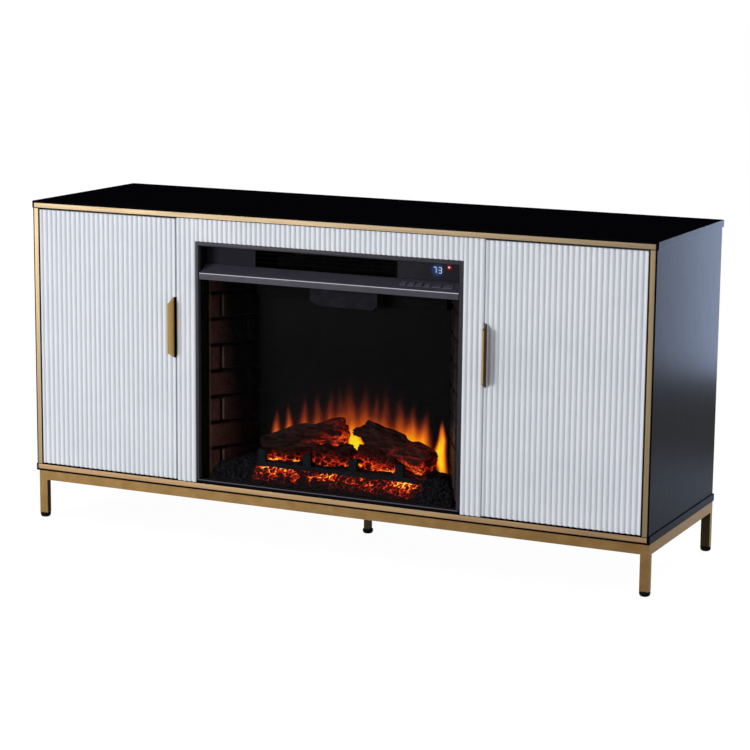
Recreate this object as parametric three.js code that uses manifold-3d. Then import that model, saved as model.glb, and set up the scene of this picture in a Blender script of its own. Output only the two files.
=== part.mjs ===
// Fireplace TV stand: a reeded two-door cabinet on a tube base, with an electric firebox in the middle.
// Millimetres, +Z up. The front faces -Y, X runs along the width, and the floor is Z = 0.
import * as THREE from "three";
import { mergeVertices } from "three/addons/utils/BufferGeometryUtils.js";
import Module from "manifold-3d";

const wasm = await Module();
wasm.setup();

// Openings and fronts that make up the width and the height, and the depth of the case
const fireboxWidth = 592;
const fireboxHeight = 500;
const doorWidth = 325;
const headerHeight = 46;
const caseDepth = 406;
const baseHeight = 104;

// Clearances
const seatGap = 0.25;
const runningGap = 0.3;
const cutOverrun = 2;

// Case panels
const panelThickness = 15;
const sideInset = 2.5;
const backInset = 4;
const backThickness = 3;
const cableHoleRadius = 27;
const cableHoleInset = 90;
const cableHoleHeight = 150;

// Metal trim let into the front edges
const trimWidth = 10;
const trimThickness = 2.5;
const trimProud = 0.8;
const trimLip = 1;

// Reeded fronts
const frontThickness = 18;
const doorPitch = 11.5;
const headerPitch = 11.04;
const reedDepth = 3;
const grooveWidth = 1;
const reedSteps = 4;

// Doors and the frame round the firebox
const doorGap = 2.5;
const doorSideGap = 1;
const stileGap = 3;
const stileWidth = 43.5;

// Shelves and their pins
const shelfHeight = 265;
const shelfSetback = 24;
const shelfBackSpace = 12;
const pinRadius = 2.5;
const pinLength = 8;
const pinInset = 45;

// Edge pulls
const pullHeight = 125;
const pullLift = 47;
const pullReach = 21;
const pullThickness = 1.6;
const pullLip = 4.6;
const pullChamfer = 10;
const pullNotch = 4.4;
const pullTang = 13;

// Concealed hinges
const cupRadius = 17.5;
const cupDepth = 10.5;
const cupWall = 5;
const flangeThickness = 1.5;
const flangeWidth = 22;
const flangeHeight = 58;
const hingeInset = 95;
const armHeight = 15;
const armThickness = 11;
const armLength = 62;
const noseLength = 6;
const plateHeight = 44;
const plateThickness = 3;
const plateSetback = 12;
const plateLength = 38;

// Base of flat tube: its broad side faces the front on the legs and the rails
const tubeWidth = 19;
const tubeDepth = 13;
const railHeight = 21.5;
const tubeWall = 1.5;
const baseSideInset = 1.5;
const baseFrontInset = 9.5;
const baseBackInset = 4.5;
const footHeight = 10;
const footRadius = 11;
const footStemGap = 0.4;
const footStemLength = 12;

// Firebox front
const bezelBar = 9;
const bezelDepth = 8;
const bezelSideGap = 0.5;
const glassThickness = 3;
const glassLap = 4.5;
const sheet = 2;
const casingInset = 7;
const casingDepth = 176;
const casingTopGap = 3.7;

// Hood, outlet and controls
const headSpace = 76.5;
const lipHeight = 13;
const hoodDepth = 33;
const hoodRise = 16.8;
const plateGauge = 2.4;
const displayWidth = 145.25;
const blankWidth = 112.25;
const outletBar = 2.2;
const outletBarCount = 3;
const lensMargin = 9;

// Buttons on the sloping face of the hood
const buttonLength = 13;
const buttonThickness = 3.4;
const buttonProud = 1.1;
const smallButtonWidth = 15;
const largeButtonWidth = 21.5;
const smallButtonGap = 2.5;
const largeButtonGap = 3;
const buttonGroupGap = 1.25;
const buttonEndInset = 17.5;
const smallButtonCount = 4;
const largeButtonCount = 2;

// Side panels of moulded brick
const brickSplayShare = 0.55;
const brickStart = 26.8;
const brickEnd = 128.5;
const brickBacking = 8;
const brickRelief = 4;
const brickCourse = 53.9;
const brickLength = 123.6;
const mortarWidth = 5;
const courseDrop = 39.4;
const brickHalfOffset = 24;

// Flame screen and lamp cover
const screenThickness = 2;
const screenLap = 0.3;
const lampStripDepth = 16;
const lampStripDrop = 40;
const lampBlockHalfWidth = 75;
const lampBlockDepth = 32;
const lampBlockDrop = 46;
const lampBlockChamfer = 9;
const lampBlockSlope = 20;
const lampSideGap = 1.8;

// Ember bed, grate and logs
const bedFront = 14;
const bedSill = 7;
const bankLead = 6;
const bankFootHeight = 13;
const bankRun = 20;
const bankCrestHeight = 35;
const crestDepth = 4;
const bedBackHeight = 51;
const bedSideHeight = 30;
const bedRiser = 9;
const bedSideGap = 1.2;
const lumpRadius = 11;
const lumpCount = 9;
const grateDepth = 8;
const grateLift = 3;
const grateHeight = 12;
const grateInset = 80.3;
const grateShift = 4;
const postWidth = 13;
const postHeight = 26;
const postInset = 9.5;
const postEndSpace = 41;
const postCount = 4;
const logSideCount = 12;
const logRingCount = 10;

// Works behind the screen and above the deck
const spindleRadius = 9;
const spindleCore = 3;
const spindleShaft = 3;
const spindleHeight = 60;
const spindleInset = 102;
const spindleVaneCount = 6;
const bracketThickness = 4;
const bracketWidth = 16;
const shaftOverhang = 9;
const blowerRadius = 24;
const blowerCore = 17;
const blowerVaneCount = 12;
const blowerInset = 147;
const heaterFront = 62;
const heaterDepth = 14;
const heaterInset = 149;
const heaterFoot = 15;
const heaterHeadroom = 17.5;
const heaterFinPitch = 12;
const heaterFinWidth = 4;
const intakeSlotHeight = 5;
const intakeSlotPitch = 12;
const intakeSlotCount = 4;
const intakeInset = 167;
const glandRadius = 9;
const glandFlangeRadius = 13;
const glandFlangeThickness = 4;
const glandBore = 4;
const glandReach = 14;
const glandInset = 57;
const glandHeight = 60;

const roundSides = 24;
const fineSides = 32;

// Places worked out from the sizes
const stileInner = fireboxWidth / 2;
const stileOuter = stileInner + stileWidth;
const doorInner = stileOuter + stileGap;
const doorOuter = doorInner + doorWidth;
const sideInner = doorOuter + doorSideGap;
const sideOuter = sideInner + panelThickness;
const halfWidth = sideOuter + sideInset;
const dividerInner = stileOuter - panelThickness;
const caseInnerHeight = fireboxHeight + headerHeight;
const caseHeight = caseInnerHeight + 2 * panelThickness;
const panelFront = trimProud;
const backFace = caseDepth - backInset;
const doorHeight = caseInnerHeight - 2 * doorGap;
const frontMiddle = -pullReach / 2;
const trimSide = (sideOuter + sideInner) / 2;
const slopeAngle = Math.atan2(hoodRise, hoodDepth);

// Finishes, one function so that every mesh has a material of its own
const finishes = {
  blackLaminate: { color: 0x101012, roughness: 0.35, metalness: 0 },
  whiteLacquer: { color: 0xe6e7ea, roughness: 0.45, metalness: 0 },
  paleGold: { color: 0xd9b27c, roughness: 0.35, metalness: 0.8 },
  bronzeGold: { color: 0x8c7347, roughness: 0.4, metalness: 0.8 },
  zinc: { color: 0x9a9c9e, roughness: 0.35, metalness: 0.9 },
  charcoalPaint: { color: 0x2b2b30, roughness: 0.45, metalness: 0.3 },
  blackSheet: { color: 0x121213, roughness: 0.6, metalness: 0.2 },
  clearGlass: { color: 0x222426, roughness: 0.05, metalness: 0, transparent: true, opacity: 0.2 },
  darkGlass: { color: 0x0b0b0e, roughness: 0.1, metalness: 0 },
  softBlack: { color: 0x1a1a1c, roughness: 0.6, metalness: 0 },
  brick: { color: 0x3a1f1a, roughness: 0.85, metalness: 0 },
  screen: { color: 0x111111, roughness: 0.3, metalness: 0 },
  ember: { color: 0x5a1c0a, roughness: 0.8, metalness: 0 },
  bark: { color: 0x2e201a, roughness: 0.9, metalness: 0 },
  blackRubber: { color: 0x141414, roughness: 0.7, metalness: 0 },
};

function finish(name) {
  return new THREE.MeshStandardMaterial(finishes[name]);
}

// Shapes
function box(x0, x1, y0, y1, z0, z1) {
  const shape = new THREE.BoxGeometry(x1 - x0, y1 - y0, z1 - z0);
  return shape.translate((x0 + x1) / 2, (y0 + y1) / 2, (z0 + z1) / 2);
}

function extrude(points, depth) {
  const outline = new THREE.Shape(points.map(([a, b]) => new THREE.Vector2(a, b)));
  return new THREE.ExtrudeGeometry(outline, { depth, bevelEnabled: false, steps: 1 });
}

// An outline in X and Y, carried up from z0 to z1
function prismZ(points, z0, z1) {
  return extrude(points, z1 - z0).translate(0, 0, z0);
}

// An outline in Y and Z, carried from x0 to x1
function prismX(points, x0, x1) {
  const axes = new THREE.Matrix4().makeBasis(
    new THREE.Vector3(0, 1, 0),
    new THREE.Vector3(0, 0, 1),
    new THREE.Vector3(1, 0, 0),
  );
  return extrude(points, x1 - x0).applyMatrix4(axes).translate(x0, 0, 0);
}

// An outline in X and Z, carried from y0 to y1
function prismY(points, y0, y1) {
  const axes = new THREE.Matrix4().makeBasis(
    new THREE.Vector3(1, 0, 0),
    new THREE.Vector3(0, 0, 1),
    new THREE.Vector3(0, -1, 0),
  );
  return extrude(points, y1 - y0).applyMatrix4(axes).translate(0, y1, 0);
}

// Round bars, each from one end to the other along its axis
function roundX(radius, x0, x1, y, z, sides = roundSides) {
  const bar = new THREE.CylinderGeometry(radius, radius, x1 - x0, sides).rotateZ(Math.PI / 2);
  return bar.translate((x0 + x1) / 2, y, z);
}

function roundY(radius, y0, y1, x, z, sides = roundSides) {
  const bar = new THREE.CylinderGeometry(radius, radius, y1 - y0, sides);
  return bar.translate(x, (y0 + y1) / 2, z);
}

// Joins and cuts
function solid(geometry) {
  const bare = geometry.clone();
  bare.deleteAttribute("normal");
  bare.deleteAttribute("uv");
  const merged = mergeVertices(bare);
  const vertProperties = new Float32Array(merged.attributes.position.array);
  const triVerts = new Uint32Array(merged.index.array);
  return new wasm.Manifold(new wasm.Mesh({ numProp: 3, vertProperties, triVerts }));
}

function geometryOf(body) {
  const { vertProperties, triVerts } = body.getMesh();
  const indexed = new THREE.BufferGeometry();
  indexed.setAttribute("position", new THREE.BufferAttribute(vertProperties, 3));
  indexed.setIndex(new THREE.BufferAttribute(triVerts, 1));
  const faceted = indexed.toNonIndexed();
  faceted.computeVertexNormals();
  return faceted;
}

function union(shapes) {
  return shapes.map(solid).reduce((whole, piece) => whole.add(piece));
}

function cut(shapes, holes) {
  return geometryOf(union(shapes).subtract(union(holes)));
}

function join(shapes) {
  return geometryOf(union(shapes));
}

function part(group, name, geometry, finishName) {
  const mesh = new THREE.Mesh(geometry, finish(finishName));
  mesh.name = name;
  group.add(mesh);
  return mesh;
}

// Left and right copies: side is -1 or 1, and a span is mirrored with its ends in order
const sides = [["left", -1], ["right", 1]];

function span(side, inner, outer) {
  return side < 0 ? [-outer, -inner] : [inner, outer];
}

const stand = new THREE.Group();
const cabinet = new THREE.Group();
const base = new THREE.Group();
const firebox = new THREE.Group();
stand.add(base, cabinet);
cabinet.add(firebox);
cabinet.position.z = baseHeight;
firebox.position.z = panelThickness;
stand.position.y = -caseDepth / 2 - frontMiddle;

// Outline of a reeded board: round reeds between narrow grooves, centred on the board
function reededOutline(x0, x1, pitch) {
  const grooves = Math.floor((x1 - x0) / pitch);
  const firstGroove = (x0 + x1) / 2 - ((grooves - 1) / 2) * pitch;
  const half = (pitch - grooveWidth) / 2;
  const radius = (half * half + reedDepth * reedDepth) / (2 * reedDepth);
  const depthAt = (u) => radius - Math.sqrt(radius * radius - u * u);
  const centres = Array.from({ length: grooves + 1 }, (_, k) => firstGroove + (k - 1 / 2) * pitch);
  const front = [[x0, depthAt(Math.min(half, centres[0] - x0))]];
  centres.forEach((centre) => {
    for (let step = 0; step <= reedSteps; step += 1) {
      const u = half * ((2 * step) / reedSteps - 1);
      const x = centre + u;
      if (x > x0 + seatGap && x < x1 - seatGap) {
        front.push([x, depthAt(u)]);
      }
    }
  });
  front.push([x1, depthAt(Math.min(half, x1 - centres[grooves]))]);
  return [...front, [x1, frontThickness], [x0, frontThickness]];
}

// Case: two slabs with the sides, dividers and backs between them
const trimBack = trimThickness;
const trimGrooveBack = trimBack + seatGap;

function trimGroove(x0, x1, z0, z1) {
  return box(x0 - seatGap, x1 + seatGap, -cutOverrun, trimGrooveBack, z0 - seatGap, z1 + seatGap);
}

const trimHalf = trimSide + trimWidth / 2;
const trimEdge = panelThickness - trimWidth - trimLip;
const topTrimLow = caseHeight - trimEdge - trimWidth;
const slabTopLow = caseHeight - panelThickness;

function slab(name, z0, trimLow) {
  const board = box(-halfWidth, halfWidth, panelFront, caseDepth, z0, z0 + panelThickness);
  const groove = trimGroove(-trimHalf, trimHalf, trimLow, trimLow + trimWidth);
  part(cabinet, name, cut([board], [groove]), "blackLaminate");
}

slab("top_panel", slabTopLow, topTrimLow);
slab("bottom_panel", 0, trimEdge);
for (const [name, low] of [["top_trim", topTrimLow], ["bottom_trim", trimEdge]]) {
  part(cabinet, name, box(-trimHalf, trimHalf, 0, trimBack, low, low + trimWidth), "paleGold");
}

const uprightLow = panelThickness + seatGap;
const uprightHigh = slabTopLow - seatGap;
const shelfLow = panelThickness + shelfHeight;
const pinZ = shelfLow - pinRadius - seatGap;
const shelfBack = backFace - backThickness - shelfBackSpace;
const pinPlaces = [shelfSetback + pinInset, shelfBack - pinInset];

// Pins stand out of an upright into the cupboard, between two X values
function shelfPins(x0, x1) {
  return pinPlaces.map((y) => roundX(pinRadius, x0, x1, y, pinZ, roundSides / 2));
}

for (const [side, sign] of sides) {
  const [x0, x1] = span(sign, sideInner, sideOuter);
  const board = box(x0, x1, panelFront, backFace, uprightLow, uprightHigh);
  const [t0, t1] = span(sign, trimSide - trimWidth / 2, trimHalf);
  const groove = box(t0 - seatGap, t1 + seatGap, -cutOverrun, trimGrooveBack, 0, caseHeight);
  const pins = shelfPins(...span(sign, sideInner - pinLength, sideInner + cutOverrun));
  part(cabinet, `${side}_side_panel`, cut([board, ...pins], [groove]), "blackLaminate");
  part(cabinet, `${side}_trim`, box(t0, t1, 0, trimBack, uprightLow, uprightHigh), "paleGold");

  const [d0, d1] = span(sign, dividerInner, stileOuter);
  const divider = box(d0, d1, frontThickness + seatGap, backFace, uprightLow, uprightHigh);
  const dividerPins = shelfPins(...span(sign, stileOuter - cutOverrun, stileOuter + pinLength));
  part(cabinet, `${side}_divider`, join([divider, ...dividerPins]), "blackLaminate");

  const [b0, b1] = span(sign, stileOuter + seatGap, sideInner - seatGap);
  const back = box(b0, b1, backFace - backThickness, backFace, uprightLow, uprightHigh);
  const holeX = sign * (stileOuter + cableHoleInset);
  const hole = roundY(cableHoleRadius, backFace - backThickness - cutOverrun, backFace + cutOverrun,
    holeX, panelThickness + cableHoleHeight);
  part(cabinet, `${side}_back_panel`, cut([back], [hole]), "blackLaminate");

  const shelf = box(b0, b1, shelfSetback, shelfBack, shelfLow, shelfLow + panelThickness);
  part(cabinet, `${side}_shelf`, shelf, "blackLaminate");

  const [s0, s1] = span(sign, stileInner, stileOuter);
  const stile = prismZ(reededOutline(s0, s1, doorPitch), uprightLow, uprightHigh);
  part(cabinet, `${side}_stile`, stile, "whiteLacquer");
}

const headerHalf = stileInner - seatGap;
const headerLow = slabTopLow - headerHeight + seatGap;
const header = prismZ(reededOutline(-headerHalf, headerHalf, headerPitch), headerLow, uprightHigh);
part(cabinet, "header_panel", header, "whiteLacquer");

// Doors, each with an edge pull let into a notch and two concealed hinges
const doorLow = panelThickness + doorGap;
const doorHigh = doorLow + doorHeight;
const pullMiddle = caseHeight / 2 + pullLift;
const pullLow = pullMiddle - pullHeight / 2;
const pullHigh = pullMiddle + pullHeight / 2;
const hingeHeights = [["lower", doorLow + hingeInset], ["upper", doorHigh - hingeInset]];
const cupX = doorOuter - cupRadius - cupWall;
const pocketRadius = cupRadius + runningGap;
const pocketFront = frontThickness - cupDepth - runningGap;
const flangeBack = frontThickness + seatGap + flangeThickness;

function door(side, sign) {
  const [x0, x1] = span(sign, doorInner, doorOuter);
  const board = prismZ(reededOutline(x0, x1, doorPitch), doorLow, doorHigh);
  const pockets = hingeHeights.map(([, z]) =>
    roundY(pocketRadius, pocketFront, frontThickness + cutOverrun, sign * cupX, z, fineSides));
  const [n0, n1] = span(sign, doorInner - cutOverrun, doorInner + pullNotch);
  const notch = box(n0, n1, -cutOverrun, frontThickness + cutOverrun,
    pullLow - seatGap, pullHigh + seatGap);
  part(cabinet, `${side}_door`, cut([board], [notch, ...pockets]), "whiteLacquer");
}

// A bent strip: a tang screwed to the notch, a leg standing forward, and a lip turned over the door
function pull(side, sign) {
  const legOuter = doorInner + pullNotch - seatGap;
  const [x0, x1] = span(sign, legOuter - pullThickness, legOuter);
  const leg = [
    [pullTang, pullLow],
    [pullTang, pullHigh],
    [0, pullHigh],
    [-pullReach, pullHigh - pullChamfer],
    [-pullReach, pullLow + pullChamfer],
    [0, pullLow],
  ];
  const [l0, l1] = span(sign, legOuter - pullThickness, legOuter - pullThickness + pullLip);
  const lip = box(l0, l1, -pullReach, pullThickness - pullReach,
    pullLow + pullChamfer, pullHigh - pullChamfer);
  part(cabinet, `${side}_pull`, join([prismX(leg.reverse(), x0, x1), lip]), "bronzeGold");
}

// The cup sits in the door and its flange lies on the back of the door
function hingeCup(side, sign, place, z) {
  const cup = roundY(cupRadius, frontThickness - cupDepth, flangeBack, sign * cupX, z, fineSides);
  const flange = box(sign * cupX - flangeWidth / 2, sign * cupX + flangeWidth / 2,
    frontThickness + seatGap, flangeBack, z - flangeHeight / 2, z + flangeHeight / 2);
  part(cabinet, `${side}_${place}_hinge_cup`, join([cup, flange]), "zinc");
}

// The arm is fixed to the side panel and ends in a nose behind the cup
function hingeArm(side, sign, place, z) {
  const front = flangeBack + runningGap;
  const mount = sideInner - seatGap;
  const [a0, a1] = span(sign, mount - armThickness, mount);
  const [n0, n1] = span(sign, cupX, mount);
  const [p0, p1] = span(sign, mount - plateThickness, mount);
  const arm = box(a0, a1, front, front + armLength, z - armHeight / 2, z + armHeight / 2);
  const nose = box(n0, n1, front, front + noseLength, z - armHeight / 2, z + armHeight / 2);
  const plate = box(p0, p1, front + plateSetback, front + plateSetback + plateLength,
    z - plateHeight / 2, z + plateHeight / 2);
  part(cabinet, `${side}_${place}_hinge_arm`, join([arm, nose, plate]), "zinc");
}

for (const [side, sign] of sides) {
  door(side, sign);
  pull(side, sign);
  for (const [place, z] of hingeHeights) {
    hingeCup(side, sign, place, z);
    hingeArm(side, sign, place, z);
  }
}

// Base: a welded ring of flat tube on four legs, a bolted middle leg, and a glide in each leg
const ringX = halfWidth - baseSideInset;
const ringFront = baseFrontInset;
const ringBack = caseDepth - baseBackInset;
const ringTop = baseHeight - seatGap;
const ringLow = ringTop - railHeight;

// Bars of the frame, drawn in by the tube's wall to give the hollow inside
function frameBars(wall, legLow) {
  const high = ringTop - wall;
  const low = ringLow + wall;
  const outerX = ringX - wall;
  const railX = ringX - tubeDepth + wall;
  const legX = ringX - tubeWidth + wall;
  const front = ringFront + wall;
  const back = ringBack - wall;
  const frontInner = ringFront + tubeDepth - wall;
  const backInner = ringBack - tubeDepth + wall;
  const rails = [
    box(-outerX, outerX, front, frontInner, low, high),
    box(-outerX, outerX, backInner, back, low, high),
    box(-outerX, -railX, front, back, low, high),
    box(railX, outerX, front, back, low, high),
  ];
  const legs = sides.flatMap(([, sign]) => {
    const [x0, x1] = span(sign, legX, outerX);
    return [[front, frontInner], [backInner, back]].map(([y0, y1]) => box(x0, x1, y0, y1, legLow, high));
  });
  return [...rails, ...legs];
}

const frame = cut(frameBars(0, footHeight), frameBars(tubeWall, footHeight - cutOverrun));
part(base, "base_frame", frame, "bronzeGold");

const middleY = (ringFront + ringBack) / 2;
const halfTube = tubeDepth / 2;
const crossFront = ringFront + tubeDepth + seatGap;
const crossBack = ringBack - tubeDepth - seatGap;
const cross = box(-halfTube, halfTube, crossFront, crossBack, ringLow, ringTop);
const post = box(-halfTube, halfTube, middleY - halfTube, middleY + halfTube, footHeight, ringTop);
const bore = halfTube - tubeWall;
const crossBore = box(-bore, bore, crossFront - cutOverrun, crossBack + cutOverrun,
  ringLow + tubeWall, ringTop - tubeWall);
const postBore = box(-bore, bore, middleY - bore, middleY + bore,
  footHeight - cutOverrun, ringLow + tubeWall * 2);
part(base, "middle_leg", cut([cross, post], [crossBore, postBore]), "bronzeGold");

// A glide: a low dome with a stem up inside the tube. Its shares are of the radius and of the height
const footTop = footHeight - seatGap;
const footStemRadius = bore - footStemGap;
const footDomeShares = [[0.5, 0], [0.8, 0.2], [0.94, 0.5], [1, 0.8], [1, 1]];
const footProfile = [
  [0, 0],
  ...footDomeShares.map(([across, up]) => [footRadius * across, footTop * up]),
  [footStemRadius, footTop],
  [footStemRadius, footTop + footStemLength],
  [0, footTop + footStemLength],
].map(([r, z]) => new THREE.Vector2(r, z));

function foot(name, x, y) {
  const glide = new THREE.LatheGeometry(footProfile, roundSides).rotateX(Math.PI / 2);
  part(base, name, glide, "blackRubber").position.set(x, y, 0);
}

const footX = ringX - tubeWidth / 2;
for (const [side, sign] of sides) {
  foot(`${side}_front_foot`, sign * footX, ringFront + halfTube);
  foot(`${side}_back_foot`, sign * footX, ringBack - halfTube);
}
foot("middle_foot", 0, middleY);

// Firebox, in a frame of its own that starts on top of the bottom panel
const bezelOuter = stileInner - bezelSideGap;
const bezelInner = bezelOuter - bezelBar;
const bezelLow = seatGap;
const bezelHigh = fireboxHeight - seatGap;
const glassFront = bezelDepth + seatGap;
const glassBack = glassFront + glassThickness;
const casingFront = glassBack + seatGap;
const casingBack = casingFront + casingDepth;
const casingOuter = stileInner - casingInset;
const casingInner = casingOuter - sheet;
const casingHigh = fireboxHeight - casingTopGap;
const floorTop = seatGap + sheet;
const deckTop = fireboxHeight - headSpace;
const deckLow = deckTop - sheet;
const screenFront = brickEnd + seatGap;
const screenBack = screenFront + screenThickness;
const spindleHalfLength = casingInner - spindleInset;
const spindleY = (screenBack + casingBack - sheet) / 2;
const blowerHalfLength = casingInner - blowerInset;
const blowerY = (heaterFront + heaterDepth + casingBack - sheet) / 2;
const blowerZ = (deckTop + casingHigh - sheet) / 2;
const bracketX = spindleHalfLength + bracketThickness + shaftOverhang;
const blowerBracketX = blowerHalfLength + bracketThickness + shaftOverhang;
const intakeHalfWidth = casingInner - intakeInset;
const glandX = casingInner - glandInset;

const bezelRing = box(-bezelOuter, bezelOuter, 0, bezelDepth, bezelLow, bezelHigh);
const bezelHole = box(-bezelInner, bezelInner, -cutOverrun, bezelDepth + cutOverrun,
  bezelLow + bezelBar, bezelHigh - bezelBar);
part(firebox, "firebox_bezel", cut([bezelRing], [bezelHole]), "charcoalPaint");

const glassHalf = bezelInner + glassLap;
const glass = box(-glassHalf, glassHalf, glassFront, glassBack, bezelLow + bezelBar - glassLap, deckLow);
part(firebox, "front_glass", glass, "clearGlass");

// Upright brackets that carry a shaft along X, fused to the sheet below them
function brackets(x, y, low, axisZ) {
  return sides.map(([, sign]) => {
    const [x0, x1] = span(sign, x - bracketThickness, x);
    return box(x0, x1, y - bracketWidth / 2, y + bracketWidth / 2, low, axisZ + bracketWidth / 2);
  });
}

const casingShell = box(-casingOuter, casingOuter, casingFront, casingBack, bezelLow, casingHigh);
const casingHollow = box(-casingInner, casingInner, casingFront - cutOverrun, casingBack - sheet,
  floorTop, casingHigh - sheet);
const deck = box(-casingOuter, casingOuter, casingFront, casingBack - sheet, deckLow, deckTop);
const spindleBrackets = brackets(bracketX, spindleY, bezelLow, spindleHeight);
const blowerBrackets = brackets(blowerBracketX, blowerY, deckLow, blowerZ);
const shaftBore = spindleShaft + runningGap;
const intakeSlots = Array.from({ length: intakeSlotCount }, (_, k) => {
  const z = blowerZ + (k - (intakeSlotCount - 1) / 2) * intakeSlotPitch;
  return box(-intakeHalfWidth, intakeHalfWidth, casingBack - sheet - cutOverrun, casingBack + cutOverrun,
    z - intakeSlotHeight / 2, z + intakeSlotHeight / 2);
});
const casingCuts = [
  roundX(shaftBore, -casingInner, casingInner, spindleY, spindleHeight),
  roundX(shaftBore, -casingInner, casingInner, blowerY, blowerZ),
  roundY(glandRadius + seatGap, casingBack - sheet - cutOverrun, casingBack + cutOverrun,
    glandX, glandHeight),
  ...intakeSlots,
];
const casing = union([casingShell])
  .subtract(union([casingHollow]))
  .add(union([deck, ...spindleBrackets, ...blowerBrackets]))
  .subtract(union(casingCuts));
part(firebox, "firebox_casing", geometryOf(casing), "blackSheet");

// Hood: bent sheet with an upright lip, a sloping face that holds the buttons, and a back leg
const hoodHalf = bezelInner - seatGap;
const hoodLow = deckTop + seatGap;
const lipHigh = deckTop + lipHeight;
const slopeHigh = lipHigh + hoodRise;
const hoodFront = seatGap;
const slopeDrop = sheet / Math.cos(slopeAngle);
const slopeFall = (sheet * hoodRise) / hoodDepth;
const hoodOutline = [
  [hoodFront, hoodLow],
  [hoodFront + sheet, hoodLow],
  [hoodFront + sheet, lipHigh + slopeFall - slopeDrop],
  [hoodFront + hoodDepth - sheet, slopeHigh - slopeFall - slopeDrop],
  [hoodFront + hoodDepth - sheet, hoodLow],
  [hoodFront + hoodDepth, hoodLow],
  [hoodFront + hoodDepth, slopeHigh],
  [hoodFront, lipHigh],
];

// A block in the hood's slope: its middle lies on the slope, and z is square to the face
const slopeMiddle = [hoodFront + hoodDepth / 2, lipHigh + hoodRise / 2];

function onSlope(geometry, x) {
  return geometry.rotateX(slopeAngle).translate(x, ...slopeMiddle);
}

// Buttons stand in two groups, placed from the right end of the hood
const largeStep = largeButtonWidth + largeButtonGap;
const smallStep = smallButtonWidth + smallButtonGap;
const lastLarge = hoodHalf - buttonEndInset - largeButtonWidth / 2;
const firstLarge = lastLarge - (largeButtonCount - 1) * largeStep;
const lastSmall = firstLarge - largeButtonWidth / 2 - buttonGroupGap - smallButtonWidth / 2;
const firstSmall = lastSmall - (smallButtonCount - 1) * smallStep;
const buttons = [
  ...Array.from({ length: smallButtonCount }, (_, k) => [firstSmall + k * smallStep, smallButtonWidth]),
  ...Array.from({ length: largeButtonCount }, (_, k) => [firstLarge + k * largeStep, largeButtonWidth]),
];

function buttonBlock(x, width, grow, low, high) {
  const halfX = width / 2 + grow;
  const halfY = buttonLength / 2 + grow;
  return onSlope(box(-halfX, halfX, -halfY, halfY, low, high), x);
}

const buttonHoles = buttons.map(([x, width]) =>
  buttonBlock(x, width, runningGap, -buttonThickness * 2, buttonThickness * 2));
part(firebox, "hood", cut([prismX(hoodOutline, -hoodHalf, hoodHalf)], buttonHoles), "charcoalPaint");
buttons.forEach(([x, width], k) => {
  const block = buttonBlock(x, width, 0, buttonProud - buttonThickness, buttonProud);
  part(firebox, `button_${k + 1}`, block, "softBlack");
});

// Behind the hood: a blank plate with a barred outlet, and the display
const plateFront = hoodFront + hoodDepth + seatGap;
const plateBack = plateFront + plateGauge;
const plateHigh = casingHigh - sheet - seatGap;
const displayLeft = hoodHalf - displayWidth;
const blankRight = blankWidth - hoodHalf;
const outletHigh = plateHigh - sheet * 2;
const outletPlate = box(-hoodHalf, displayLeft - seatGap, plateFront, plateBack, hoodLow, plateHigh);
const outletHole = box(blankRight, displayLeft - sheet * 2, plateFront - cutOverrun, plateBack + cutOverrun,
  slopeHigh, outletHigh);
const outletStep = (outletHigh - slopeHigh) / (outletBarCount + 1);
const outletBars = Array.from({ length: outletBarCount }, (_, k) => {
  const z = slopeHigh + (k + 1) * outletStep;
  return box(blankRight - sheet, displayLeft - sheet, plateFront, plateBack,
    z - outletBar / 2, z + outletBar / 2);
});
const outlet = union([outletPlate]).subtract(union([outletHole])).add(union(outletBars));
part(firebox, "outlet_panel", geometryOf(outlet), "blackSheet");

const displayPlate = box(displayLeft, hoodHalf, plateFront, plateBack, hoodLow, plateHigh);
const lensRelief = box(displayLeft + lensMargin, hoodHalf - lensMargin, plateBack - sheet / 2,
  plateBack + cutOverrun, slopeHigh + lensMargin / 2, plateHigh - lensMargin / 2);
part(firebox, "display_panel", cut([displayPlate], [lensRelief]), "darkGlass");

// Heater: a block of fins on the deck
const heaterHalfLength = casingInner - heaterInset;
const finCount = Math.floor((2 * heaterHalfLength) / heaterFinPitch);
const heaterLow = deckTop + seatGap;
const heaterHigh = casingHigh - sheet - heaterHeadroom;
const heaterBody = box(-heaterHalfLength, heaterHalfLength, heaterFront, heaterFront + heaterDepth / 2,
  heaterLow, heaterHigh);
const heaterFins = Array.from({ length: finCount }, (_, k) => {
  const x = (k - (finCount - 1) / 2) * heaterFinPitch;
  return box(x - heaterFinWidth / 2, x + heaterFinWidth / 2, heaterFront, heaterFront + heaterDepth,
    heaterLow + heaterFoot, heaterHigh);
});
part(firebox, "heater_element", join([heaterBody, ...heaterFins]), "zinc");

// Vaned rollers: a star section on a thin shaft that runs in two brackets
function vanedRoller(radius, core, vanes, halfLength, shaftHalf, y, z) {
  const outline = Array.from({ length: vanes * 2 }, (_, k) => {
    const angle = (k * Math.PI) / vanes;
    const reach = k % 2 ? core : radius;
    return [reach * Math.cos(angle), reach * Math.sin(angle)];
  });
  const star = prismX(outline, -halfLength, halfLength);
  const shaft = roundX(spindleShaft, -shaftHalf, shaftHalf, 0, 0);
  return join([star, shaft]).translate(0, y, z);
}

const spindle = vanedRoller(spindleRadius, spindleCore, spindleVaneCount, spindleHalfLength,
  bracketX + runningGap, spindleY, spindleHeight);
part(firebox, "flame_spindle", spindle, "zinc");
const blower = vanedRoller(blowerRadius, blowerCore, blowerVaneCount, blowerHalfLength,
  blowerBracketX + runningGap, blowerY, blowerZ);
part(firebox, "blower_wheel", blower, "softBlack");

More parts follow.
